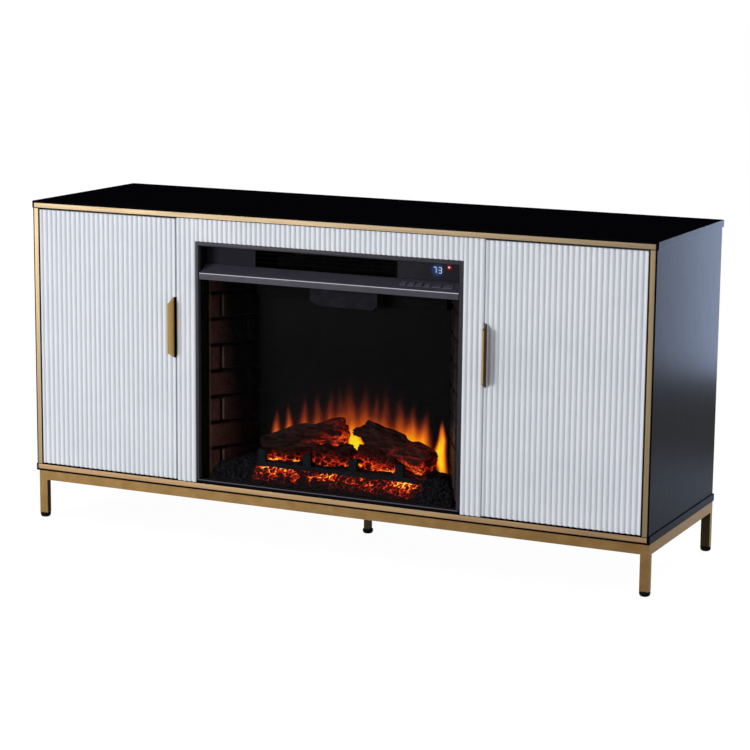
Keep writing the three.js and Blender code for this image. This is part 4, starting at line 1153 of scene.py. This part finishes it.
tree, shader = new_finish("brick_moulding", "brick_moulding", 0.5, specular=0.25)
joint = stored_value(tree, "joint")
face = blend_colours(tree, span(tree, noise(tree, 70), 0.3, 0.7), srgb("3d1e16"), srgb("5c2d21"))
face = blend_colours(tree, span(tree, noise(tree, 420), 0.45, 0.7), face, srgb("180c09"))
face = blend_colours(tree, joint, face, srgb("070505"))
looks, spot = facing_axes(tree), place_axes(tree)
wall_end = FRONT + WALL_START
# The front end face of the wall is painted near black as painted shade, and faces that look to the front
# are painted light as a painted highlight.
past_end = span(tree, spot["Y"], wall_end + EDGE_START[0], wall_end + EDGE_START[1])
edge = calculate(tree, "MULTIPLY", span(tree, looks["Y"], -0.80, -0.95), past_end)
face = blend_colours(tree, past_end, srgb("0d0a0a"), face)
face = blend_colours(tree, edge, face, srgb("8c7058"))
# The wall darkens towards the back and the top: painted shade.
rise = calculate(tree, "MULTIPLY", spot["Z"], DEPTH_SHADE_RISE)
deep = calculate(tree, "ADD", spot["Y"], rise)
level = FRONT + HEARTH * DEPTH_SHADE_RISE
painted_depth_shade = span(tree, deep, level + DEPTH_SHADE_START, level + DEPTH_SHADE_END)
face = blend_colours(tree, painted_depth_shade, face, srgb("0c0808"))
# The right wall is painted darker: painted shade.
shade = span(tree, spot["X"], *MIDDLE_FADE, 0.0, RIGHT_SHADE)
tree.links.new(blend_colours(tree, shade, face, srgb("1b181a")), shader.inputs["Base Color"])
hollow = calculate(tree, "MAXIMUM", joint, painted_depth_shade)
tree.links.new(span(tree, hollow, 0.0, 1.0, 0.3, 0.03), shader.inputs["Specular IOR Level"])
uneven_gloss(tree, shader, 0.42, 0.62, 200)
relief(tree, shader, noise(tree, 320, detail=5.0), 0.0008, 0.7)


def brick_wall(sign):
    """At a distance u along the wall and a height z, the surface lies behind the brick face by the
    mortar's depth, eased to zero over the brick's rounded edge, plus ripples."""
    length = (WALL_END - WALL_START) * np.hypot(1, WALL_SPLAY)
    heights = np.linspace(WALL_LOW, WALL_HIGH, WALL_GRID[0])
    z, u = np.meshgrid(heights, np.linspace(0, length, WALL_GRID[1]), indexing="ij")
    level = (z + COURSE_DROP) / COURSE
    shift = np.where(np.floor(level) % 2 == 1, BRICK_OFFSET, BRICK_OFFSET + BRICK / 2)
    to_side = np.abs((u - shift + BRICK / 2) % BRICK - BRICK / 2)
    to_course = np.abs((level + 0.5) % 1 - 0.5) * COURSE
    away = np.clip((np.minimum(to_side, to_course) - MORTAR / 2) / BRICK_ROUND, 0, 1)
    joint = 1 - away * away * (3 - 2 * away)
    spot = as_points(u, z, sign * 0.1).reshape(-1, 3)
    uneven = sum(size * ripples(spot, wave, seed) for size, wave, seed in (LARGE_RIPPLES, SMALL_RIPPLES))
    uneven = uneven.reshape(u.shape)
    behind = MORTAR_DEPTH * joint + np.clip(uneven + 0.0006, 0, 0.002) * (1 - 0.6 * joint)
    along = np.array([-sign * WALL_SPLAY, 1]) / np.hypot(1, WALL_SPLAY)
    outward = np.array([sign * along[1], -sign * along[0]])
    start = np.array([sign * (WALL_MOUTH - WALL_SPLAY * WALL_START), FRONT + WALL_START])

    def place(depth):
        flat = start + u[..., None] * along + depth[..., None] * outward
        return np.concatenate([flat, HEARTH + z[..., None]], -1)

    return paired_shell(place(behind), place(np.full_like(u, WALL_THICKNESS))), np.tile(joint.ravel(), 2)


for side, sign in SIDES:
    shell, joints = brick_wall(sign)
    name = f"{side}_brick_panel"
    build(f"{side}_bricks", [shell], "brick_moulding", "cabinet", [name], {"joint": joints})

# %% [markdown]
# ## Flames
# The fire is a picture of light on a dark screen. Each tongue of flame is a hump across the screen
# that narrows to its tip and sways with height, and the tongues are added to a low glow along the logs.
# Two tall flames follow lines of places. The sum is stored on the points as a fire level, and a row of
# colours turns it into light.

# %% Flame screen
SCREEN_CELL = 0.0022
FLAME_FOOT = 0.085
# Each tongue: middle, height of its tip, half width, lean to the right at its tip, and heat
TONGUES = np.array([
    (-0.177, 0.151, 0.0100, 0.001, 0.70), (-0.147, 0.164, 0.0092, 0.000, 0.68),
    (-0.112, 0.184, 0.0115, 0.002, 0.54), (-0.082, 0.194, 0.0128, 0.002, 0.48),
    (-0.052, 0.206, 0.0130, 0.002, 0.44), (-0.030, 0.218, 0.0120, 0.000, 0.34),
    (-0.006, 0.240, 0.0200, -0.002, 0.36), (0.027, 0.230, 0.0150, 0.003, 0.42),
    (0.051, 0.208, 0.0120, 0.003, 0.42), (0.073, 0.228, 0.0130, 0.003, 0.42),
    (0.105, 0.208, 0.0170, 0.004, 0.52), (0.133, 0.192, 0.0155, 0.006, 0.60),
    (0.160, 0.181, 0.0170, 0.010, 0.76),
])
# Two tall flames: height above the hearth, middle, half width, and heat, from the foot up
RIBBONS = np.array([
    [(0.025, 0.206, 0.0108, 0.62), (0.040, 0.204, 0.0114, 0.80), (0.065, 0.1985, 0.0128, 1.02),
     (0.090, 0.196, 0.0132, 1.08), (0.115, 0.2005, 0.0098, 0.90), (0.137, 0.2000, 0.0062, 0.62),
     (0.156, 0.200, 0.0020, 0.22)],
    [(0.040, 0.008, 0.0170, 1.00), (0.060, 0.008, 0.0180, 1.04), (0.072, 0.008, 0.0180, 1.00),
     (0.086, 0.007, 0.0180, 0.78), (0.100, 0.004, 0.0160, 0.50), (0.118, 0.000, 0.0140, 0.30),
     (0.160, -0.004, 0.0110, 0.0)],
])
SWAY = 0.0018
# Soft lights: heat, middle, half width, height, and reach
LOG_GLOW = (0.24, -0.005, 0.185, 0.100, 0.050)
RIGHT_GLOW = (0.10, 0.135, 0.045, 0.118, 0.026)
HAZE = (0.13, 0.010, 0.100, 0.130, 0.075)

low, high = corners_of("flame_screen")
columns = int((high[0] - low[0]) / SCREEN_CELL)
rows = int((high[2] - low[2]) / SCREEN_CELL)
levels = np.linspace(low[2], high[2], rows)
z, x = np.meshgrid(levels, np.linspace(low[0], high[0], columns), indexing="ij")
up = z - HEARTH


def flame_heat(x, up):
    """For each tongue: heat times (1 - h) to the power 0.8, times a bell across the tongue, where h runs
    from 0 at the foot to 1 at the tip. A ribbon is a flat-topped bell round a line of places. One soft
    light lies along the logs and falls off with height, one lies at the right, and one is a haze."""
    middle, tip, half, lean, heat = (TONGUES[:, k, None, None] for k in range(5))
    h = np.clip((up - FLAME_FOOT) / (tip - FLAME_FOOT), 0, 1)
    centre = middle + lean * h ** 2 + SWAY * np.sin(up * 95 + middle * 60) * h
    width = half * (1.2 - 0.95 * h ** 1.2)
    tongues = heat * (1 - h) ** 0.8 * np.exp(-(np.abs(x - centre) / width) ** 2.3)
    total = tongues.sum(0)
    for ribbon in RIBBONS:
        centre, width, heat = (np.interp(up, ribbon[:, 0], ribbon[:, k]) for k in (1, 2, 3))
        heat = heat * np.clip((up - ribbon[0, 0] + 0.01) / 0.01, 0, 1) * (up < ribbon[-1, 0])
        total = np.maximum(total, heat * np.exp(-(np.abs(x - centre) / width) ** 3) + total * 0.35)
    heat, middle, half, height, reach = LOG_GLOW
    spread = np.clip(1 - ((x - middle) / half) ** 4, 0, 1)
    total = total + heat * spread * np.exp(-(np.clip(up - height, 0, None) / reach) ** 1.4)
    heat, middle, half, height, reach = RIGHT_GLOW
    total = total + heat * np.exp(-((x - middle) / half) ** 2 - ((up - height) / reach) ** 2)
    heat, middle, half, height, reach = HAZE
    above = np.clip(up - height, 0, None)
    return total + heat * np.exp(-((x - middle) / half) ** 2 - (above / reach) ** 2)


heat = flame_heat(x, up)
film = paired_shell(as_points(x, low[1], z), as_points(x, high[1], z))
tree, shader = new_finish("screen_film", "screen_film", 0.4, specular=0.02)
mottled(tree, shader, "040404", "070707", 12)
wisps = span(tree, noise(tree, 60, (1, 1, 0.22)), 0.25, 0.75, 0.82, 1.14)
level = calculate(tree, "MULTIPLY", stored_value(tree, "fire_level"), wisps)
flame_colours = [(0.0, "000000"), (0.10, "060202"), (0.22, "280b06"), (0.38, "60200e"), (0.55, "aa4415"),
                 (0.72, "ea7018"), (0.86, "ffaa14"), (1.0, "ffdc22")]
light_up(tree, shader, colour_ramp(tree, level, flame_colours))
fire_level = np.tile(heat.ravel(), 2)
build("flame_film", [film], "screen_film", "cabinet", ["flame_screen"], {"fire_level": fire_level})
print("screen", rows, "by", columns)

# %% Lamp cover
STRIP_DEPTH = 0.016
STRIP_DROP = 0.040
STRIP_RADIUS = 0.0015
STRIP_FADE = (-0.002, -0.001)
BLOCK_HALF = 0.075
BLOCK_CHAMFER = 0.009
BLOCK_SLOPE = 0.020
BLOCK_EDGE = 0.0012

low, high = corners_of("lamp_cover")
strip_front = high[1] - STRIP_DEPTH
strip = rounded_box((low[0], strip_front, high[2] - STRIP_DROP), high, STRIP_RADIUS, 3)
cover = make_object("lamp_cover_pressed", [strip])
block = [(-BLOCK_HALF, high[2]), (-BLOCK_HALF, low[2] + BLOCK_CHAMFER), (BLOCK_SLOPE - BLOCK_HALF, low[2]),
         (BLOCK_HALF - BLOCK_CHAMFER, low[2]), (BLOCK_HALF, low[2] + BLOCK_CHAMFER), (BLOCK_HALF, high[2])]
combine(cover, [prism(block, low[1], high[1])], "UNION")
soften(cover, BLOCK_EDGE, 3)
tree, shader = new_finish("lamp_paint", "black_sheet", 0.6, specular=0.02)
paint = mottled(tree, shader, "1c1c21", "242429", 50)
# The block is painted lighter as painted light, and the strip behind it darker as painted shade under the
# hood's lip.
shaded_strip = span(tree, place_axes(tree)["Y"], strip_front + STRIP_FADE[0], strip_front + STRIP_FADE[1])
tree.links.new(blend_colours(tree, shaded_strip, paint, srgb("0c0b0d")), shader.inputs["Base Color"])
relief(tree, shader, noise(tree, 1200, detail=2.0), 0.00004, 0.5)
dress(cover, "lamp_paint", "cabinet", ["lamp_cover"])

# %% [markdown]
# ## Logs
# A log is a tube of uneven rings. Long ripples along the bark make ridges, and the ends are drawn in to
# a broken face. Where the real log is lit from inside, the points carry a glow, which the material cuts
# into cracks of red and orange.

# %% Log material
ember_colours = [(0.0, "000000"), (0.18, "1a0201"), (0.34, "5c0a03"), (0.52, "c02408"), (0.70, "ff5a10"),
                 (0.86, "ff9a1e"), (1.0, "ffd848")]


def cracks(tree, scale, stretch=(1, 1, 1)):
    """1 along the borders between cells and 0 inside them, with the borders bent by noise."""
    place = place_on_piece(tree)
    sway = wire(tree, "ShaderNodeTexNoise", {"Vector": place, "Scale": scale * 1.4, "Detail": 2.0})
    sockets = {0: sway.outputs["Color"], 3: 0.55 / scale}
    push = wire(tree, "ShaderNodeVectorMath", sockets, operation="SCALE")
    moved = wire(tree, "ShaderNodeVectorMath", {0: place, 1: push.outputs[0]}, operation="ADD")
    mapped = wire(tree, "ShaderNodeMapping", {"Vector": moved.outputs[0], "Scale": stretch})
    cells = wire(tree, "ShaderNodeTexVoronoi", {"Vector": mapped.outputs[0], "Scale": scale},
                 feature="DISTANCE_TO_EDGE")
    return span(tree, cells.outputs["Distance"], 0.0, 0.22, 1.0, 0.0)


def glowing(name, slot, dark, light, bark_scale, crack_scale, stretch, power):
    """Char with light in its cracks: the glow on the points, times cracks and noise, picks the colour."""
    tree, shader = new_finish(name, slot, 0.75, specular=0.06)
    mottled(tree, shader, dark, light, bark_scale, stretch)
    glow = stored_value(tree, "glow")
    patch = span(tree, noise(tree, crack_scale * 0.45, detail=2.0), 0.34, 0.66)
    lines = cracks(tree, crack_scale, stretch)
    body = calculate(tree, "MULTIPLY", patch, 0.55)
    light = calculate(tree, "MULTIPLY", calculate(tree, "ADD", lines, body), glow)
    fine = span(tree, noise(tree, crack_scale * 3), 0.3, 0.7, 0.55, 1.15)
    light = calculate(tree, "MULTIPLY", light, fine)
    light_up(tree, shader, colour_ramp(tree, light, ember_colours), power)
    fibres = relief(tree, shader, noise(tree, bark_scale * 4, stretch, 5.0), 0.0022, 1.0)
    relief(tree, shader, lines, -0.0012, 0.6, fibres)


glowing("bark", "log_resin", "080405", "33211d", 130, 75, (0.20, 1, 1), 0.8)
glowing("ember_log", "ember_resin", "100505", "2c130d", 130, 80, (0.8, 1, 1), 1.05)
glowing("ember_coal", "ember_resin", "0a0809", "181314", 160, 110, (1, 1, 1), 1.25)

# %% Log shapes
LOG_GRID = (130, 110)
BARK_LIMITS = (-0.26, 0.14)
END_ROUGHNESS = 0.0022
END_SHARES = np.array([(0.0, 0.0), (0.0, 0.45), (0.004, 0.8), (0.014, 0.95), (0.03, 1.0)])


def log_shell(start, end, radii, seed, ridge=0.16):
    """Rings round a straight line. The radius runs through evenly spaced values and is multiplied by 1
    plus ridges that are long along the bark. The end rings shrink to the middle of a rough face. The
    share of the length and the sine of the angle come back too, for the glow."""
    start, end = np.array(start, float), np.array(end, float)
    along = end - start
    forward = along / np.linalg.norm(along)
    across = np.cross([0, 0, 1], forward)
    across /= np.linalg.norm(across)
    upward = np.cross(forward, across)
    t = np.concatenate([END_SHARES[:, 0], np.linspace(0.05, 0.95, LOG_GRID[0]), 1 - END_SHARES[::-1, 0]])
    shrink = np.concatenate([END_SHARES[:, 1], np.ones(LOG_GRID[0]), END_SHARES[::-1, 1]])
    angle = np.linspace(0, 2 * np.pi, LOG_GRID[1], endpoint=False)
    t, angle = np.meshgrid(t, angle, indexing="ij")
    spot = as_points(2.2 * np.cos(angle), 2.2 * np.sin(angle), 2.6 * t).reshape(-1, 3)
    bark = ripples(spot, 1.1, seed) * ridge + ripples(spot * [1, 1, 3], 3.2, seed + 1) * ridge * 0.9
    knots = np.abs(ripples(spot * [2, 2, 0.9], 0.9, seed + 2)) * ridge * 0.7
    fine = ripples(spot * [3.2, 3.2, 1.3], 1.0, seed + 4) * ridge * 0.45
    size = 1 + np.clip(bark - knots + fine, *BARK_LIMITS).reshape(t.shape)
    radius = np.interp(t, np.linspace(0, 1, len(radii)), radii) * size * shrink[:, None]
    rough_end = END_ROUGHNESS * ripples(spot * 1.6, 1.4, seed + 3).reshape(t.shape)
    rough_end = rough_end * (shrink[:, None] < 0.97)
    line = start + t[..., None] * along + rough_end[..., None] * forward
    outward = np.cos(angle)[..., None] * across + np.sin(angle)[..., None] * upward
    rings = line + radius[..., None] * outward
    rings[0] = rings[0].mean(0)
    rings[-1] = rings[-1].mean(0)
    return grid_shell(rings, wrap_columns=True), t, np.sin(angle)


def hearth_point(x, y, z):
    """A place in the firebox: y behind the front plane, and z above the hearth."""
    return (x, FRONT + y, HEARTH + z)


# Each log: where it starts and ends, and its radius at five places along it
LEFT_LOG = ((-0.1796, 0.0740, 0.0830), (0.0021, 0.0920, 0.1195), (0.0110, 0.0205, 0.0245, 0.0260, 0.0285))
RIGHT_LOG = ((0.0440, 0.0944, 0.1280), (0.1991, 0.0760, 0.0710), (0.0215, 0.0240, 0.0270, 0.0290, 0.0280))
for name, (start, end, radii), seed in (("left_log", LEFT_LOG, 21), ("right_log", RIGHT_LOG, 31)):
    shell, t, high_side = log_shell(hearth_point(*start), hearth_point(*end), radii, seed)
    under = np.clip(0.55 - high_side, 0, 1)
    toward = np.clip(t * 1.5 - 0.45, 0, 1) if name == "left_log" else np.clip(t * 1.2, 0.15, 1)
    glow = np.clip(0.42 * under * toward + 0.28 * toward, 0, 0.62)
    build(f"{name}_bark", [shell], "bark", "cabinet", [name], {"glow": glow.ravel()})

# %% [markdown]
# ## Ember bed
# The bed rises from a sill at the front to the foot of the logs. Its top is a height field with lumps:
# each lump is a dome over the nearest of many scattered points, so the creases between them look like
# gaps between coals. The glow lies in a band along the top of the bed's front, strongest in the creases.

# %% Ember bed
# Points of the bed's outline: distance behind the front and height above the hearth, in millimetres
BED_PROFILE = np.array([
    (14, 7), (18, 10), (22, 14.5), (28, 22), (34, 29.5), (39, 34.5), (43, 36), (47, 40), (53, 49),
    (62, 51), (128, 51),
]) * 0.001
BED_GRID = (84, 270)
BED_BASE = 0.0025
BED_LEAST = 0.001
BED_GAP = 0.0012
BED_RIM = (0.004, 0.006)
LUMP = 0.0155
LUMP_HEIGHT = 0.0070
LUMP_SINK = 0.006
SMALL_SHARE = 0.42
SMALL_HEIGHT = 0.0022
# The glowing band: its ends across and in depth, and how far each end fades
BAND = (-0.180, 0.224)
BAND_FADE = (0.008, 0.050)
BAND_Y = (0.015, 0.049)
BAND_Y_FADE = (0.016, 0.004)
BAND_RIDGE = (0.042, 0.006)
CELLS = 128
# The bed's height at the end of the grate and at the wall
SHOULDERS = ((0.186, 0.2865), (0.051, 0.030))
# Hot places in the band: middle, half width, and how much hotter
HOT_PLACES = ((-0.150, 0.026, 0.75), (-0.105, 0.020, 0.55), (-0.005, 0.026, 0.60), (0.058, 0.018, 0.25),
              (0.156, 0.034, 1.05))


def between(value, ends, fades):
    """1 between two ends and 0 outside them, with a straight fade inwards from each end."""
    rise = np.clip((value - ends[0]) / fades[0], 0, 1)
    return rise * np.clip((ends[1] - value) / fades[1], 0, 1)


def dome(away):
    """The height of a ball of radius 1 at this distance from its middle."""
    return np.sqrt(np.clip(1 - away ** 2, 0, 1))


def wall_at(y):
    """Half the width between the brick walls, at a distance behind the front."""
    return WALL_MOUTH - WALL_SPLAY * np.maximum(y, WALL_START)


def coal_domes(x, y, pitch, seed):
    """Distance to the nearest scattered point and to the second nearest, in shares of the pitch. The
    points are one to a cell of a square grid, each moved at random inside its cell."""
    dice = np.random.default_rng(seed)
    shifts = dice.uniform(0.1, 0.9, (CELLS, CELLS, 2))
    column, row = np.floor(x / pitch).astype(int), np.floor(y / pitch).astype(int)
    near = []
    for step_x in (-1, 0, 1):
        for step_y in (-1, 0, 1):
            shift = shifts[(column + step_x) % CELLS, (row + step_y) % CELLS]
            away_x = column + step_x + shift[..., 0] - x / pitch
            away_y = row + step_y + shift[..., 1] - y / pitch
            near.append(np.hypot(away_x, away_y))
    near = np.sort(np.stack(near), 0)
    return near[0], near[1]


run = np.concatenate([[0], np.cumsum(np.hypot(*np.diff(BED_PROFILE, axis=0).T))])
along = np.linspace(0, run[-1], BED_GRID[0])
bed_y, bed_z = (np.interp(along, run, BED_PROFILE[:, k]) for k in (0, 1))
bed_half = wall_at(bed_y) - BED_GAP
share, track = np.meshgrid(np.linspace(-1, 1, BED_GRID[1]), along)
x = share * bed_half[:, None]
first, second = coal_domes(x, track, LUMP, 5)
small, small_next = coal_domes(x, track, LUMP * SMALL_SHARE, 6)
lump = LUMP_HEIGHT * dome(first) + SMALL_HEIGHT * dome(small) - LUMP_SINK
rim = np.clip(np.minimum(track / BED_RIM[0], (run[-1] - track) / BED_RIM[1]), 0, 1)
lump = lump * rim
slope_y, slope_z = np.gradient(bed_y, along), np.gradient(bed_z, along)
top = as_points(x, FRONT + bed_y[:, None] - lump * slope_z[:, None],
                HEARTH + bed_z[:, None] + lump * slope_y[:, None])
shoulder = np.interp(np.abs(x), *SHOULDERS) + lump
top[..., 2] = np.minimum(top[..., 2], HEARTH + shoulder)
top[..., 2] = np.maximum(top[..., 2], HEARTH + BED_BASE + BED_LEAST)
under = top.copy()
under[..., 2] = HEARTH + BED_BASE

crease = np.clip(1 - (second - first) / 0.30, 0, 1)
fine_crease = np.clip(1 - (small_next - small) / 0.35, 0, 1)
band = between(x, BAND, BAND_FADE) * between(bed_y, BAND_Y, BAND_Y_FADE)[:, None]
wander = ripples(as_points(x, track, 0.0).reshape(-1, 3), 0.03, 9)
hot = np.clip(0.36 + 0.22 * wander.reshape(x.shape), 0.10, 1)
high_part = (0.25 + np.exp(-((bed_y - BAND_RIDGE[0]) / BAND_RIDGE[1]) ** 2))[:, None]
for middle, reach, extra in HOT_PLACES:
    hot = hot + extra * high_part * np.exp(-((x - middle) / reach) ** 2)
glow = band * hot * (0.50 + 0.80 * crease + 0.30 * fine_crease)
build("ember_bank", [paired_shell(top, under)], "ember_coal", "cabinet", ["ember_bed"],
      {"glow": np.concatenate([glow.ravel(), np.zeros(glow.size)])})

# %% [markdown]
# Loose coals lie at both sides of the bed. They are all one array: a small ball of points is scaled,
# turned and moved once for each coal, and ripples make every coal a different shape.

# %% Coals
COALS = 420
BALL = (7, 9)
COAL_SIZE = (0.0032, 0.0070)
COAL_Y = (0.018, 0.094)
COAL_INNER = (0.186, 0.198)
COAL_MARGIN = 0.008
LEFT_SHARE = 0.55

dice = np.random.default_rng(17)
side = np.where(dice.random(COALS) < LEFT_SHARE, -1, 1)
depth = COAL_Y[0] + COAL_Y[1] * dice.random(COALS) ** 1.2
edge = wall_at(depth) - COAL_MARGIN
inner_edge = np.where(side < 0, *COAL_INNER)
reach = inner_edge + (edge - inner_edge) * dice.random(COALS)
size = dice.uniform(*COAL_SIZE, COALS)
bank = np.interp(depth, BED_PROFILE[:, 0], BED_PROFILE[:, 1])
height = np.minimum(bank, np.interp(reach, *SHOULDERS)) + size * dice.uniform(-0.1, 0.5, COALS)
centres = as_points(side * np.minimum(reach, edge), FRONT + depth, HEARTH + height)
polar = np.linspace(0, np.pi, BALL[0])[:, None]
around = np.linspace(0, 2 * np.pi, BALL[1], endpoint=False)
ball = as_points(np.sin(polar) * np.cos(around), np.sin(polar) * np.sin(around), np.cos(polar))
ball = ball.reshape(-1, 3)
turns = np.linalg.qr(dice.normal(size=(COALS, 3, 3)))[0]
scales = size[:, None] * dice.uniform(0.7, 1.15, (COALS, 3))
coals = np.einsum("kij,knj->kni", turns, ball[None] * scales[:, None])
spots = (coals + centres[:, None]).reshape(-1, 3)
coals = coals * (1 + 0.2 * ripples(spots, 0.011, 3).reshape(COALS, -1, 1))
coals[:, :BALL[1]] = coals[:, :BALL[1]].mean(1, keepdims=True)
coals[:, -BALL[1]:] = coals[:, -BALL[1]:].mean(1, keepdims=True)
faces = grid_faces(*BALL, wrap_columns=True)
shells = [(coals[k] + centres[k], faces) for k in range(COALS)]
plain_finish("charcoal", "ember_resin", (0.8, 0.08), ("08090c", "17191f"), 140, 500, (0.0006, 0.8), 4.0)
build("loose_coals", shells, "charcoal", "cabinet")

# %% [markdown]
# The lower logs fill the space between the bed and the upper logs. The last one is the knob at the end of
# the right log.

# %% Lower logs
# Each log: where it starts and ends, its radius at both ends, the seed of its bark, and its warmth
LOWER_LOGS = [
    ((-0.0580, 0.0780, 0.0710), (0.0281, 0.0800, 0.0700), (0.0235, 0.0245), 41, 0.85),
    ((0.0400, 0.0800, 0.0770), (0.1281, 0.0780, 0.0660), (0.0245, 0.0230), 51, 0.95),
    ((-0.1679, 0.0740, 0.0600), (-0.0900, 0.0740, 0.0620), (0.0170, 0.0185), 61, 1.35),
    ((0.1300, 0.0700, 0.0520), (0.2040, 0.0680, 0.0430), (0.0200, 0.0190), 71, 0.75),
    ((-0.1000, 0.0880, 0.0680), (-0.0500, 0.0880, 0.0720), (0.0190, 0.0200), 81, 0.60),
    ((0.0215, 0.0930, 0.1205), (0.0560, 0.0940, 0.1240), (0.0075, 0.0130), 91, 0.10),
]
shells, glows = [], []
for start, end, radii, seed, warmth in LOWER_LOGS:
    shell, share, high_side = log_shell(hearth_point(*start), hearth_point(*end), radii, seed, 0.24)
    shells.append(shell)
    glows.append(np.clip((0.46 - 0.45 * high_side) * warmth, 0.10, 0.95).ravel())
build("lower_logs", shells, "ember_log", "cabinet", (), {"glow": np.concatenate(glows)})

# %% Grate
GRATE_BAR = 0.012
POST_WIDTH = 0.021
POST_COUNT = 4
POST_INSET = 0.0125
POST_END = 0.041
POST_ROUND = 0.0036
BAR_ROUND = 0.0018

low, high = corners_of("grate")
first_post = low[0] + POST_INSET
posts = first_post + np.arange(POST_COUNT) * (high[0] - POST_END - first_post) / (POST_COUNT - 1)
low_bar = rounded_box(low, (high[0], high[1], low[2] + GRATE_BAR), BAR_ROUND, 3)
grate = make_object("grate_cast", [low_bar])
combine(grate, [rounded_box((x - POST_WIDTH / 2, low[1], low[2]), (x + POST_WIDTH / 2, high[1], high[2]),
                            POST_ROUND, 4) for x in posts], "UNION")
print("grate reaches", np.round([grate.bound_box[0][0], grate.bound_box[6][0]], 4))
dress(grate, "grate_iron", "cabinet", ["grate"])
